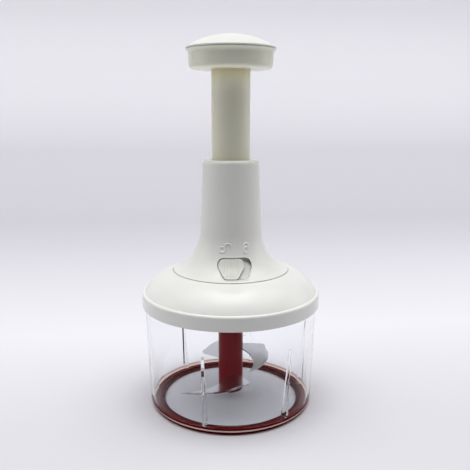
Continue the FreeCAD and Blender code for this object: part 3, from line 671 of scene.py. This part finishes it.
head_top = new_verts(bmesh.ops.extrude_face_region(hub, geom=head_face, use_keep_orig=True))
bmesh.ops.translate(hub, verts=head_top, vec=(0, 0, HEAD_TALL + HEAD_SUNK))
of_head = set(head) | set(head_top)
bmesh.ops.recalc_face_normals(hub, faces=[f for f in hub.faces if of_head.issuperset(f.verts)])
head_edges = [e for e in hub.edges if of_head.issuperset(e.verts) and not set(head).issuperset(e.verts)]
soften(hub, head_edges, 0.7)
dress(finished("blade_column", hub), "blade_hub", red_plastic)

# %% [markdown]
# ## The lid
# The lid is a thin dome with a straight rim that hangs over the bowl, a plug
# that reaches down inside it, and a well in the middle for the drive. All of
# it is one turned section, followed all the way round: up the rim, over the
# dome, down into the well, and back underneath. A hair of room over the bowl's
# rim keeps the two surfaces from flickering through each other.

# %% Lid sizes
LID_ROOM = 0.05
LID_WALL = 2.0
LID_EDGE = 2.0
RIM_HANG = 10.0
RIM_HEIGHT = 12.2
DOME_SWELL = 11.3
OPENING_GAP = 0.4
SEAT_WIDTH = 5.0
WELL_DEPTH = 12.2
COLLAR_R = 17.1
COLLAR_WALL = 2.4
COLLAR_DEPTH = 4.0
PLUG_GAP = 1.2
PLUG_WALL = 2.2
PLUG_DEPTH = 10.5
SEAL_DEPTH = 1.2
rim_low_z = bowl_top_z - RIM_HANG
rim_top_z = rim_low_z + RIM_HEIGHT
rim_in_r = bowl_rim_r + PART_GAP
opening_r = seam_r + OPENING_GAP
dome_r = (opening_r + lid_r) / 2
well_r = seam_r - SEAT_WIDTH
well_z = seat_z - WELL_DEPTH
collar_low_z = well_z - LID_WALL - COLLAR_DEPTH
plug_r = bowl_rim_r - BOWL_WALL - PLUG_GAP
plug_in_r = plug_r - PLUG_WALL
seal_in_r = plug_r - SEAL_DEPTH
seal_low_z, seal_high_z = low("lid_seal"), high("lid_seal")
print(f"rim {rim_low_z:.1f} to {rim_top_z:.1f}, well down to {well_z:.1f}, plug radius {plug_r:.1f}")

# %% Lid
lies_z = bowl_top_z + LID_ROOM
dome = arc((lid_r - LID_EDGE, rim_top_z), (dome_r, rim_top_z + DOME_SWELL), (opening_r, seam_z), 28)
top_side = [(lid_r, rim_low_z), (lid_r, rim_top_z)] + dome
well = [(opening_r, seat_z), (well_r, seat_z), (well_r, well_z), (COLLAR_R, well_z),
        (COLLAR_R, collar_low_z), (COLLAR_R + COLLAR_WALL, collar_low_z),
        (COLLAR_R + COLLAR_WALL, well_z - LID_WALL), (well_r + LID_WALL, well_z - LID_WALL)]
under_dome = arc((well_r + LID_WALL, seat_z - LID_WALL),
                 (dome_r - LID_WALL / 2, rim_top_z + DOME_SWELL - LID_WALL),
                 (plug_in_r, bowl_top_z + LID_EDGE + LID_WALL), 14)
plug = [(plug_in_r, bowl_top_z - PLUG_DEPTH), (plug_r, bowl_top_z - PLUG_DEPTH), (plug_r, seal_low_z),
        (seal_in_r, seal_low_z), (seal_in_r, seal_high_z), (plug_r, seal_high_z),
        (plug_r, lies_z), (rim_in_r, lies_z), (rim_in_r, rim_low_z)]
lid_section = top_side + well + under_dome + plug
well_at, plug_at = len(top_side), len(lid_section) - len(plug)
lid_rounds = {0: 0.6, 1: 1.9, well_at - 1: 0.35, well_at + 4: 0.5, well_at + 5: 0.5,
              plug_at: 0.5, plug_at + 1: 0.5}
lid = lathe("domed_lid", lid_section, lid_rounds, steps=192)
dress(lid, "lid", white_plastic)

# %% [markdown]
# ## The lid's seal
# A soft ring sits in the plug's groove and reaches for the bowl's wall with a
# narrow lip, so its section tapers from the groove outwards.

# %% Lid seal
SEAL_SHOULDER = 0.2
SEAL_LIP_HALF = 0.3
seal_r = radius("lid_seal")
shoulder_r = plug_r - SEAL_SHOULDER
seal_middle_z = (seal_low_z + seal_high_z) / 2
seal_section = [(seal_in_r, seal_low_z), (shoulder_r, seal_low_z), (seal_r, seal_middle_z - SEAL_LIP_HALF),
                (seal_r, seal_middle_z + SEAL_LIP_HALF), (shoulder_r, seal_high_z), (seal_in_r, seal_high_z)]
dress(lathe("lid_seal_ring", seal_section, {2: 0.3, 3: 0.3}), "lid_seal", seal_rubber)

# %% [markdown]
# ## The housing
# The housing is a trumpet: a wide foot that lies in the lid's opening, a
# concave flare, and a slightly tapering neck that guides the plunger. It is
# turned as a hollow shell, with the sleeve that hangs down inside its top.
# The flare's radius at a height is kept as a function, because the lock's
# window, its button and the padlock marks all have to lie on that surface.

# %% Housing shell
NECK_R = 23.4
HOUSING_WALL = 2.3
SLEEVE_LENGTH = 15.0
SLEEVE_WALL = 2.2
FLARE_STEPS = 40
FLARE_FOOT = (seam_r, seat_z + 2.2)
FLARE_MID = (31.2, seat_z + 16.4)
FLARE_TOP = (25.9, seat_z + 35.3)
FLARE = circle_through(FLARE_FOOT, FLARE_MID, FLARE_TOP)


def flare(z, inset=0.0):
    """Radius of the flare at a height, moved in by inset."""
    x, y, reach = FLARE
    return x - math.sqrt((reach + inset) ** 2 - (y - z) ** 2)


neck_top_z = high("housing")
sleeve_r = tube_r + PART_GAP
sleeve_low_z = neck_top_z - SLEEVE_LENGTH
under_top_z = neck_top_z - HOUSING_WALL
flare_z = [FLARE_FOOT[1] + (FLARE_TOP[1] - FLARE_FOOT[1]) * i / FLARE_STEPS for i in range(FLARE_STEPS + 1)]
outside = [(seam_r, seat_z)] + [(flare(z), z) for z in flare_z]
outside += [(NECK_R, neck_top_z), (sleeve_r, neck_top_z)]
inside = [(sleeve_r, sleeve_low_z), (sleeve_r + SLEEVE_WALL, sleeve_low_z),
          (sleeve_r + SLEEVE_WALL, under_top_z), (NECK_R - HOUSING_WALL, under_top_z)]
inside += [(flare(z, HOUSING_WALL), z) for z in reversed([seat_z] + flare_z[1:])]
neck_at = len(outside) - 2
housing = lathe("flared_housing", outside + inside, {0: 0.3, neck_at: 2.8, neck_at + 1: 0.8}, steps=256)

# %% [markdown]
# ## The lock's window
# A shield-shaped window in the flare shows the lock's button. It is the
# button's own shield with a margin, widened by the way that the button slides.
# The shield is drawn flat, its corners are rounded with a vertex bevel, and it
# is pushed back into a solid.

# %% The shield
LOCK_TRAVEL = math.radians(10.0)
MARGIN = 0.5
SHOULDER = 0.52
BUTTON = {"top": seat_z + 17.4, "bottom": seat_z + 3.7, "half_top": 10.4, "half_bottom": 5.3,
          "reach": (5.7, 1.0, 1.6)}
WINDOW = {"top": BUTTON["top"] + MARGIN, "bottom": BUTTON["bottom"] - MARGIN, "reach": (6.2, 1.0, 2.1)}


def shoulder_of(shape):
    """Height at which the shield's straight sides begin to taper."""
    return shape["top"] - SHOULDER * (shape["top"] - shape["bottom"])


side_travel = math.sin(LOCK_TRAVEL / 2)
WINDOW["half_top"] = BUTTON["half_top"] + MARGIN + flare(shoulder_of(WINDOW)) * side_travel
WINDOW["half_bottom"] = BUTTON["half_bottom"] + MARGIN + flare(WINDOW["bottom"]) * side_travel


def shield(shape, grow=0.0):
    """A flat shield in the XZ plane: straight sides above, tapering below."""
    top, bottom, shoulder = shape["top"] + grow, shape["bottom"] - grow, shoulder_of(shape)
    wide, narrow = shape["half_top"] + grow, shape["half_bottom"] + grow
    bm = bmesh.new()
    corners = [(-narrow, bottom), (narrow, bottom), (wide, shoulder), (wide, top), (-wide, top),
               (-wide, shoulder)]
    verts = [bm.verts.new((x, 0, z)) for x, z in corners]
    bm.faces.new(verts)
    for pair, reach in zip(((3, 4), (2, 5), (0, 1)), shape["reach"]):
        soften(bm, [verts[i] for i in pair], reach + grow / 2, segments=8, affect="VERTICES")
    return bm


def pushed(bm, distance):
    """Extrudes a flat face along Y and closes it into a solid."""
    moved = new_verts(bmesh.ops.extrude_face_region(bm, geom=bm.faces[:], use_keep_orig=True))
    bmesh.ops.translate(bm, verts=moved, vec=(0, distance, 0))
    return face_out(bm)


print(f"window: {2 * WINDOW['half_top']:.1f} wide, {WINDOW['top'] - WINDOW['bottom']:.1f} tall")

# %% [markdown]
# A Boolean modifier cuts the window. Cutting by hand would mean knifing
# hundreds of small faces, and the modifier does just that. Its result is taken
# over as a plain mesh, so that nothing is left to work out later.

# %% Cut the window
CUT_FROM_Y = -60.0
CUT_DEPTH = 40.0


def evaluated_mesh(source):
    """A plain mesh of what an object's modifiers or thickness give."""
    bpy.context.view_layer.update()
    return bpy.data.meshes.new_from_object(source.evaluated_get(bpy.context.evaluated_depsgraph_get()))


def cut_with(piece, cutter):
    """Takes the cutter away from the piece, and removes the cutter."""
    modifier = piece.modifiers.new("cut", "BOOLEAN")
    modifier.operation = "DIFFERENCE"
    modifier.solver = "EXACT"
    modifier.object = cutter
    uncut, spent = piece.data, cutter.data
    cut = evaluated_mesh(piece)
    piece.modifiers.clear()
    piece.data = cut
    bpy.data.meshes.remove(uncut)
    bpy.data.objects.remove(cutter)
    bpy.data.meshes.remove(spent)
    cut.name = piece.name
    print(f"{piece.name}: {len(cut.polygons)} faces after the cut")


cutter = shield(WINDOW)
bmesh.ops.translate(cutter, verts=cutter.verts[:], vec=(0, CUT_FROM_Y, 0))
cut_with(housing, finished("window_cutter", pushed(cutter, CUT_DEPTH)))
dress(housing, "housing", white_plastic)

# %% [markdown]
# The edge of a moulded window is never sharp. A thin rounded lip is laid along
# it, half sunk in the wall. It is a curve with a bevel depth, whose points are
# the shield's corners, put on the flare by their height.

# %% Lip round the window
LIP_GROW = 0.02
LIP_SUNK = 0.22
LIP_THICK = 0.42


def on_flare(x, z, out=0.0):
    """Point on the front of the flare, pushed out along the radius."""
    r = flare(z) + out
    return Vector((x, -math.sqrt(r * r - x * x), z))


def rod_along(name, points, thickness, cyclic=True):
    """A round rod through points, made a mesh straight away."""
    data = bpy.data.curves.new(name, "CURVE")
    data.dimensions = "3D"
    data.bevel_depth = thickness * MM
    data.bevel_resolution = 3
    data.use_fill_caps = not cyclic
    line = data.splines.new("POLY")
    line.points.add(len(points) - 1)
    for slot, point in zip(line.points, points):
        slot.co = (*(Vector(point) * MM), 1.0)
    line.use_cyclic_u = cyclic
    source = bpy.data.objects.new(name, data)
    bpy.context.collection.objects.link(source)
    mesh = evaluated_mesh(source)
    bpy.data.objects.remove(source)
    bpy.data.curves.remove(data)
    mesh.name = name
    return shown(name, mesh)


def loop_points(bm, spacing=0.8):
    """The outline of a flat face, in order, with long sides divided."""
    bm.faces.ensure_lookup_table()
    corners = [loop.vert.co.copy() for loop in bm.faces[0].loops]
    points = []
    for a, b in zip(corners, corners[1:] + corners[:1]):
        pieces = max(1, round((b - a).length / spacing))
        points += [a.lerp(b, i / pieces) for i in range(pieces)]
    return points


outline = shield(WINDOW, grow=LIP_GROW)
lip = rod_along("window_lip", [on_flare(p.x, p.z, -LIP_SUNK) for p in loop_points(outline)], LIP_THICK)
outline.free()
lip.data.materials.append(white_plastic)
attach(lip, "lid")
print("window lip:", len(lip.data.polygons), "faces")

# %% [markdown]
# ## The lock's button
# The thumb button is the same shield, smaller, with upright grip ridges. It is
# modelled flat, where ridges are simple boxes, and then bent: every corner is
# pushed back to the flare by its own depth. Only corners can be pushed, so
# planes cut the flat work into narrow strips first.

# %% Button pad
BUTTON_DEPTH = 2.0
BUTTON_EDGE = 0.6
STRIP = 1.0


def sliced(bm, normal, places):
    """Cuts the whole bmesh with parallel planes, so that it can bend."""
    for place in places:
        point = Vector(normal) * place
        bmesh.ops.bisect_plane(bm, geom=bm.verts[:] + bm.edges[:] + bm.faces[:], dist=1e-5, plane_co=point,
                               plane_no=normal)


pad = pushed(face_out(shield(BUTTON)), BUTTON_DEPTH)
front = [e for e in pad.edges if all(abs(v.co.y) < MERGE for v in e.verts)]
soften(pad, front, BUTTON_EDGE, segments=4)
sliced(pad, (1, 0, 0), [i * STRIP for i in range(-10, 11)])
sliced(pad, (0, 0, 1), [BUTTON["bottom"] + i * STRIP for i in range(1, 14)])
print("button pad:", len(pad.faces), "faces")

# %% [markdown]
# The ridges stand on the pad as bevelled boxes. The outer ones are shorter, so
# that they follow the shield's taper. At rest the button stands at the window's
# left end, so it is turned by five degrees about the chopper's axis.

# %% Grip ridges, and the bend
GRIPS = 6
GRIP_PITCH = 2.3
GRIP_SIZE = (1.0, 1.6)
GRIP_OUT = 0.05
GRIP_EDGE = 0.38
GRIP_TOP = BUTTON["top"] - 2.0
GRIP_FOOT = BUTTON["bottom"] + 1.9
TAPER_FROM = 4.3
TAPER = 1.4
BUTTON_SINK = 0.5


def bent(bm, sink):
    """Bends flat work onto the flare: y is the depth behind its surface."""
    for vert in bm.verts:
        x, depth, z = vert.co
        r = flare(z)
        vert.co.y = -math.sqrt(r * r - x * x) + sink + depth


for number in range(GRIPS):
    x = (number - (GRIPS - 1) / 2) * GRIP_PITCH
    foot_z = GRIP_FOOT + max(0.0, abs(x) - TAPER_FROM) * TAPER
    ridge = bmesh.ops.create_cube(pad, size=1.0)["verts"]
    bmesh.ops.scale(pad, vec=(*GRIP_SIZE, GRIP_TOP - foot_z), verts=ridge)
    bmesh.ops.translate(pad, verts=ridge, vec=(x, GRIP_OUT, (GRIP_TOP + foot_z) / 2))
    long_edges = list({e for v in ridge for e in v.link_edges if all(p.co.y < 0 for p in e.verts)})
    soften(pad, long_edges, GRIP_EDGE)
sliced(pad, (0, 0, 1), [BUTTON["bottom"] + (i + 0.5) * STRIP for i in range(13)])
bent(pad, BUTTON_SINK)
bmesh.ops.rotate(pad, verts=pad.verts[:], cent=(0, 0, 0), matrix=Matrix.Rotation(-LOCK_TRAVEL / 2, 3, "Z"))
dress(finished("lock_thumb_button", pad), "lock_button", button_plastic)

# %% [markdown]
# ## The padlock marks
# Two small padlocks stand out from the flare above the window: an open one
# where the button rests, and a closed one where it locks. They are plain signs
# that many locks carry. Each is drawn as a line in the plane, a rounded body
# and a hooped shackle, and the rod that follows the line lies half in the wall.
# A plastic that is glossier than the wall and a little whiter, as a painted highlight, brings them out.

# %% Padlocks
MARK_Z = 141.2
MARK_THICK = 0.54
MARK_PROUD = 0.08


def hoop(x, z, wide, high, count=14):
    """A shackle: an arch over (x, z)."""
    points = [(x - wide, z)]
    for i in range(count + 1):
        a = math.pi * (1 - i / count)
        points.append((x + wide * math.cos(a), z + high + wide * math.sin(a)))
    return points + [(x + wide, z)]


def rounded(x, z, wide, high, count=24, square=0.62):
    """A soft-cornered square round (x, z)."""
    def soft(v):
        return math.copysign(abs(v) ** square, v)
    turns = [2 * math.pi * i / count for i in range(count)]
    return [(x + wide * soft(math.cos(a)), z + high * soft(math.sin(a))) for a in turns]


def mark(name, line, cyclic, proud=MARK_PROUD):
    """A raised line on the flare."""
    piece = rod_along(name, [on_flare(x, z, proud) for x, z in line], MARK_THICK, cyclic=cyclic)
    piece.data.materials.append(highlit_mark_plastic)
    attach(piece, "lid")
    return piece


mark("open_padlock_body", rounded(-9.4, MARK_Z - 2.2, 2.1, 2.0), True)
mark("open_padlock_shackle", hoop(-4.7, MARK_Z - 0.1, 2.3, 0.6), False, proud=0.3)
mark("closed_padlock_body", rounded(9.8, MARK_Z - 2.8, 2.2, 2.1), True)
mark("closed_padlock_shackle", hoop(9.8, MARK_Z - 0.7, 1.7, 1.5), False)
print("padlocks at", MARK_Z)

# %% [markdown]
# ## The plunger's tube
# The tube slides in the neck and carries the knob. It is turned too: closed at
# its top, with a bore that is a little wider at the bottom, where the foot and
# the drive's nut sit.

# %% Tube
TUBE_WALL = 2.0
TUBE_END = 6.0
BORE_STEP = 0.75
BORE_DEPTH = 23.0
tube_low_z = low("plunger_tube")
tube_high_z = high("plunger_tube")
bore_r = tube_r - TUBE_WALL
step_z = tube_low_z + BORE_DEPTH
tube_section = [(tube_r, tube_low_z), (tube_r, tube_high_z), (0, tube_high_z), (0, tube_high_z - TUBE_END),
                (bore_r - BORE_STEP, tube_high_z - TUBE_END), (bore_r - BORE_STEP, step_z),
                (bore_r, step_z), (bore_r, tube_low_z)]
tube = lathe("plunger_tube_shell", tube_section, {0: 0.3, 1: 0.3}, steps=128)
dress(tube, "plunger_tube", tube_plastic)

# %% [markdown]
# ## Painted shade under the knob
# The top of the tube, just under the knob, gets a painted shade: a darker and warmer tint for the shade that
# the knob throws there. Separate XYZ reads the height from Object coordinates, a ramp turns the last thirteen
# millimetres into a tint, and the tint multiplies the plastic's own colour. The tint moves with the tube,
# because Object coordinates belong to the piece.

# %% Painted shade at the tube's top
PAINTED_SHADE_REACH = 13.0
# painted shade: the tube's colour gets darker and warmer towards the knob, for the shade that the knob throws
# on it
PAINTED_SHADE_TINT = [(0.0, (1.0, 1.0, 1.0, 1.0)), (0.35, (0.96, 0.94, 0.88, 1.0)), (0.65, (0.87, 0.82, 0.71, 1.0)),
          (1.0, (0.7, 0.65, 0.49, 1.0))]
tree = tube_plastic.node_tree
base = tree.nodes["Principled BSDF"].inputs["Base Color"]
unshaded = base.links[0].from_socket
height = add(tree, "SeparateXYZ", {"Vector": tree.nodes["Texture Coordinate"].outputs["Object"]})
near_knob = share_between(tree, height.outputs["Z"], (knob_low_z - PAINTED_SHADE_REACH) * MM, knob_low_z * MM)
painted_shade = tree.nodes.new("ShaderNodeMix")
painted_shade.data_type = "RGBA"
painted_shade.blend_type = "MULTIPLY"
feed(tree, painted_shade, {0: 1.0, 6: unshaded, 7: ramp(tree, near_knob, PAINTED_SHADE_TINT)})
tree.links.new(painted_shade.outputs[2], base)
print("tube yellows over", PAINTED_SHADE_REACH, "mm")

# %% [markdown]
# ## The knob
# The knob is hollow. Its side rises a little outwards and ends in a small
# flared lip: an arc that leaves the side upright and reaches the knob's full
# radius just under the top.

# %% Knob
KNOB_LOW_R = 33.3
KNOB_SIDE_R = 34.0
KNOB_WALL = 2.2
KNOB_FLOOR = 2.4
LIP_TALL = 4.0
LIP_TOP = 0.6
SOCKET_ROOM = 0.05
knob_r = radius("knob_body")
knob_high_z = high("knob_body")
socket_r = tube_r + SOCKET_ROOM
lip_low_z = knob_high_z - LIP_TOP - LIP_TALL
lip_turn = math.atan2(knob_r - KNOB_SIDE_R, LIP_TALL)
lip_reach = LIP_TALL / 2 / math.sin(lip_turn) / math.cos(lip_turn)
lip_middle = (KNOB_SIDE_R + lip_reach * (1 - math.cos(lip_turn)), lip_low_z + lip_reach * math.sin(lip_turn))
knob_lip = arc((KNOB_SIDE_R, lip_low_z), lip_middle, (knob_r, knob_high_z - LIP_TOP), 8)
knob_section = [(socket_r, knob_low_z), (KNOB_LOW_R, knob_low_z)] + knob_lip
knob_section += [(knob_r, knob_high_z), (KNOB_SIDE_R - KNOB_WALL, knob_high_z),
                 (KNOB_LOW_R - 2.0, knob_low_z + KNOB_FLOOR), (socket_r + KNOB_WALL, knob_low_z + KNOB_FLOOR),
                 (socket_r + KNOB_WALL, tube_high_z + KNOB_FLOOR), (0, tube_high_z + KNOB_FLOOR),
                 (0, tube_high_z), (socket_r, tube_high_z)]
lip_at = 1 + len(knob_lip)
knob = lathe("palm_knob", knob_section, {0: 0.3, 1: 3.0, lip_at: 0.25, lip_at + 1: 0.25, lip_at + 2: 0.3})
dress(knob, "knob_body", knob_plastic)

# %% [markdown]
# ## The knob's cap
# A domed cap snaps into the knob, and a thin dark seam runs round under it. It
# is a shallow part of a big sphere, the shape a palm likes, and a skirt under it
# drops into the knob. How wide it is and how far it rises give the sphere.

# %% Cap
CAP_SEAM = 0.22
CAP_EDGE = 1.0
CAP_SIDE = 0.9
CAP_WALL = 2.2
SKIRT_WALL = 1.1
SKIRT_DEPTH = 4.9
cap_r = radius("knob_cap")
cap_low_z = knob_high_z + CAP_SEAM
cap_top_z = high("knob_cap")
cap_rise = cap_top_z - cap_low_z - CAP_EDGE
ball = (cap_r ** 2 + cap_rise ** 2) / (2 * cap_rise)
skirt_r = KNOB_SIDE_R - KNOB_WALL - PART_GAP
skirt_in_r = skirt_r - SKIRT_WALL
skirt_low_z = cap_low_z - SKIRT_DEPTH


def on_cap(r, inset=0.0):
    """Point of the dome at a radius, moved in by inset."""
    return (r, cap_top_z - ball + math.sqrt((ball - inset) ** 2 - r * r))


cap_section = [(skirt_in_r, skirt_low_z), (skirt_r, skirt_low_z), (skirt_r, cap_low_z), (cap_r, cap_low_z),
               (cap_r, cap_low_z + CAP_SIDE)]
cap_section += [on_cap(cap_r * math.sin(math.radians(84 - i * 6))) for i in range(14)] + [(0, cap_top_z)]
cap_section += [(0, cap_top_z - CAP_WALL), on_cap(skirt_r / 2, CAP_WALL), on_cap(skirt_in_r, CAP_WALL)]
cap = lathe("domed_knob_cap", cap_section, {3: 0.4, 4: 0.55})
dress(cap, "knob_cap", cap_plastic)

# %% [markdown]
# ## The return spring
# An open coil of steel wire stands on the bearing plate and lifts the plunger again. It is a round section
# spun six times about the axis while it climbs, which is how a coiling machine lays the wire. It gets a mesh
# of its own, because it gets shorter as the plunger goes down.

# %% Return spring
SPRING_COILS = 6
SPRING_WIRE = 0.65
SPRING_ROOM = 0.05
STEPS_A_COIL = 48
spring_r = radius("return_spring") - SPRING_WIRE - SPRING_ROOM
spring_low_z = low("return_spring") + SPRING_WIRE
spring_high_z = high("return_spring") - SPRING_WIRE
climb = (spring_high_z - spring_low_z) / (SPRING_COILS * STEPS_A_COIL)
coil = bmesh.new()
section_at = Matrix.Translation((spring_r, 0, spring_low_z)) @ Matrix.Rotation(math.radians(90), 4, "X")
bmesh.ops.create_circle(coil, cap_ends=True, segments=14, radius=SPRING_WIRE, matrix=section_at)
bmesh.ops.spin(coil, geom=coil.verts[:] + coil.edges[:] + coil.faces[:], cent=(0, 0, 0), axis=(0, 0, 1),
               dvec=(0, 0, climb), angle=2 * math.pi * SPRING_COILS, steps=SPRING_COILS * STEPS_A_COIL)
spring = finished("return_spring_coil", face_out(merged(coil)))
dress(spring, "return_spring", steel)
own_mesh(spring)

# %% [markdown]
# ## Finishes for the works inside
# The drive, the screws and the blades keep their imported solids, because flat
# machined and moulded parts are right as they are. Each one gets its finish by
# putting the material in its slots. The nodes that a shell replaces get theirs
# too, so that no node is left without one.

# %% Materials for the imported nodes
INNER = {
    "centre_pin": steel, "spiral_shaft": steel,
    "plate_screws": screw_steel, "housing_screws": screw_steel, "knob_screws": screw_steel,
    "lower_blade": blade_steel, "middle_blade": blade_steel, "upper_blade": blade_steel,
    "thrust_washer": inner_plastic, "drive_cup": inner_plastic, "ratchet_driver": inner_plastic,
    "bearing_plate": inner_plastic, "drive_nut": inner_plastic, "plunger_foot": inner_plastic,
    "lock_slider": inner_plastic,
}
REPLACED = {
    "bowl": clear_plastic, "base_ring": red_rubber, "blade_hub": red_plastic, "lid": white_plastic,
    "lid_seal": seal_rubber, "housing": white_plastic, "plunger_tube": tube_plastic,
    "knob_body": knob_plastic, "knob_cap": cap_plastic, "lock_button": button_plastic,
    "return_spring": steel,
}
for node, material in {**INNER, **REPLACED}.items():
    mesh = frame["nodes"][node].data
    mesh.materials.clear()
    mesh.materials.append(material)
print(len(INNER), "packed nodes shown,", len(REPLACED), "replaced")

# %% [markdown]
# ## Floor and backdrop
# A pale paper sweep: flat under the chopper, then curving up behind it into a
# low wall, so no horizon line shows. It is one edge profile pushed sideways.

# %% Sweep
SWEEP_FRONT = -1.6
SWEEP_BEND = 0.55
SWEEP_TOP = 0.8
SWEEP_HALF = 3.0
BEND_STEPS = 15
bend = [math.radians(90 * i / BEND_STEPS) for i in range(BEND_STEPS + 1)]
sweep_line = [(SWEEP_FRONT, 0.0)]
sweep_line += [(SWEEP_BEND * (1 + math.sin(a)), SWEEP_BEND * (1 - math.cos(a))) for a in bend]
sweep_line += [(2 * SWEEP_BEND, SWEEP_TOP)]
sheet = bmesh.new()
profile = [sheet.verts.new((-SWEEP_HALF, y, z)) for y, z in sweep_line]
for a, b in zip(profile, profile[1:]):
    sheet.edges.new((a, b))
far_side = new_verts(bmesh.ops.extrude_edge_only(sheet, edges=sheet.edges[:]))
bmesh.ops.translate(sheet, verts=far_side, vec=(2 * SWEEP_HALF, 0, 0))
sweep = shown("paper_sweep", mesh_of("sweep", face_out(sheet)))
print("sweep:", len(sweep.data.polygons), "faces")

# %% [markdown]
# ## Paper with painted light and shade
# Paper under a few lamps is never one grey, and here that light and shade is painted into its colour: its
# tone follows how far back a point is, darker in front, lighter just behind the chopper, darker again where
# it begins to rise, and lightest at the wall.

# %% Paper
GRADE_FROM, GRADE_TO = -1.0, 1.2
# painted light and shade: the paper's tones by how far back a point is
PAINTED_LIGHT_GRADE = [(0.2, colour(190, 189, 195)), (0.34, colour(212, 211, 217)), (0.421, colour(214, 213, 219)),
         (0.529, colour(225, 224, 230)), (0.784, colour(193, 192, 199)), (0.879, colour(203, 202, 209)),
         (0.949, colour(240, 239, 245))]
paper, tree, shader, place = new_material("paper")
back = add(tree, "SeparateXYZ", {"Vector": place}).outputs["Y"]
feed(tree, shader, {
    "Base Color": ramp(tree, share_between(tree, back, GRADE_FROM, GRADE_TO), PAINTED_LIGHT_GRADE),
    "Roughness": spread(tree, noise(tree, place, 1.3), 0.6, 0.8),
    "Specular IOR Level": 0.2})
sweep.data.materials.append(paper)
print("paper tones:", len(PAINTED_LIGHT_GRADE))

# %% [markdown]
# ## Lamps
# Two soft lamps hang overhead, a small one high up and a wide one under it,
# and a weak one stands low at each side, a little behind the chopper. So its
# top is bright, its sides are lighter than its front, and its shadow is faint.

# %% Lamps
def softbox(name, place, aim, size, power):
    """A rectangular lamp at a place that shines towards an aim."""
    data = bpy.data.lights.new(name, "AREA")
    data.shape = "RECTANGLE"
    data.size, data.size_y = size
    data.energy = power
    lamp = bpy.data.objects.new(name, data)
    bpy.context.collection.objects.link(lamp)
    lamp.location = place
    lamp.rotation_euler = (Vector(aim) - Vector(place)).to_track_quat("-Z", "Y").to_euler()
    print(f"{name}: {power} W")


softbox("top_softbox", (0.0, -0.05, 3.6), (0, 0, 0.0), (2.0, 1.8), 49.0)
softbox("wide_softbox", (0.0, 0.0, 2.8), (0, 0.0, 0.0), (4.7, 2.2), 79.0)
softbox("left_softbox", (-1.3, 0.15, 0.6), (0, 0, 0.15), (0.9, 0.9), 2.6)
softbox("right_softbox", (1.3, 0.15, 0.6), (0, 0, 0.15), (0.9, 0.9), 2.8)

# %% [markdown]
# ## World
# The world has two faces. What it throws on the pieces is weak and slightly
# warm, and only lifts the deepest shadows. Where it is looked at, straight, in
# a reflection or through the clear bowl, it is a pale grey, as the walls of a
# studio would be. Light Path tells the rays apart and a Mix Shader picks.

# %% World
world = bpy.data.worlds.new("studio")
world.use_nodes = True
tree = world.node_tree
dim = feed(tree, tree.nodes["Background"], {"Color": (1.0, 0.97, 0.88, 1.0), "Strength": 0.015})
pale = add(tree, "Background", {"Color": (0.93, 0.93, 0.97, 1.0), "Strength": 0.7})
path = add(tree, "LightPath", {})
seen = path.outputs["Is Camera Ray"]
for kind in ("Is Glossy Ray", "Is Transmission Ray"):
    either = add(tree, "Math", {0: seen, 1: path.outputs[kind]})
    either.operation = "MAXIMUM"
    seen = either.outputs["Value"]
chosen = add(tree, "MixShader", {"Fac": seen, 1: dim.outputs["Background"], 2: pale.outputs["Background"]})
feed(tree, tree.nodes["World Output"], {"Surface": chosen.outputs["Shader"]})
bpy.context.scene.world = world
bpy.context.scene.view_settings.view_transform = "Standard"
print("world nodes:", len(tree.nodes))

# %% [markdown]
# ## Camera
# A 46 mm lens about half a metre away, a little above and tilted down by some
# twelve degrees, sees the dome, the flare and into the bowl at once. It stands
# six degrees round from the front.

# %% Camera
LENS = 45.59
STANDS = Vector((0.0036, -0.491, 0.2472))
HEADING, TILT, ROLL = math.radians(-5.95), math.radians(11.72), math.radians(0.13)
camera_data = bpy.data.cameras.new("camera")
camera_data.lens = LENS
camera_data.sensor_width = 36.0
camera = bpy.data.objects.new("camera", camera_data)
bpy.context.collection.objects.link(camera)
round_z = Matrix.Rotation(HEADING, 3, "Z")
aimed = round_z @ Matrix.Rotation(math.radians(90) - TILT, 3, "X") @ Matrix.Rotation(ROLL, 3, "Z")
camera.location = round_z @ STANDS
camera.rotation_euler = aimed.to_euler()
bpy.context.scene.camera = camera
print("camera at", [round(v, 3) for v in camera.location])
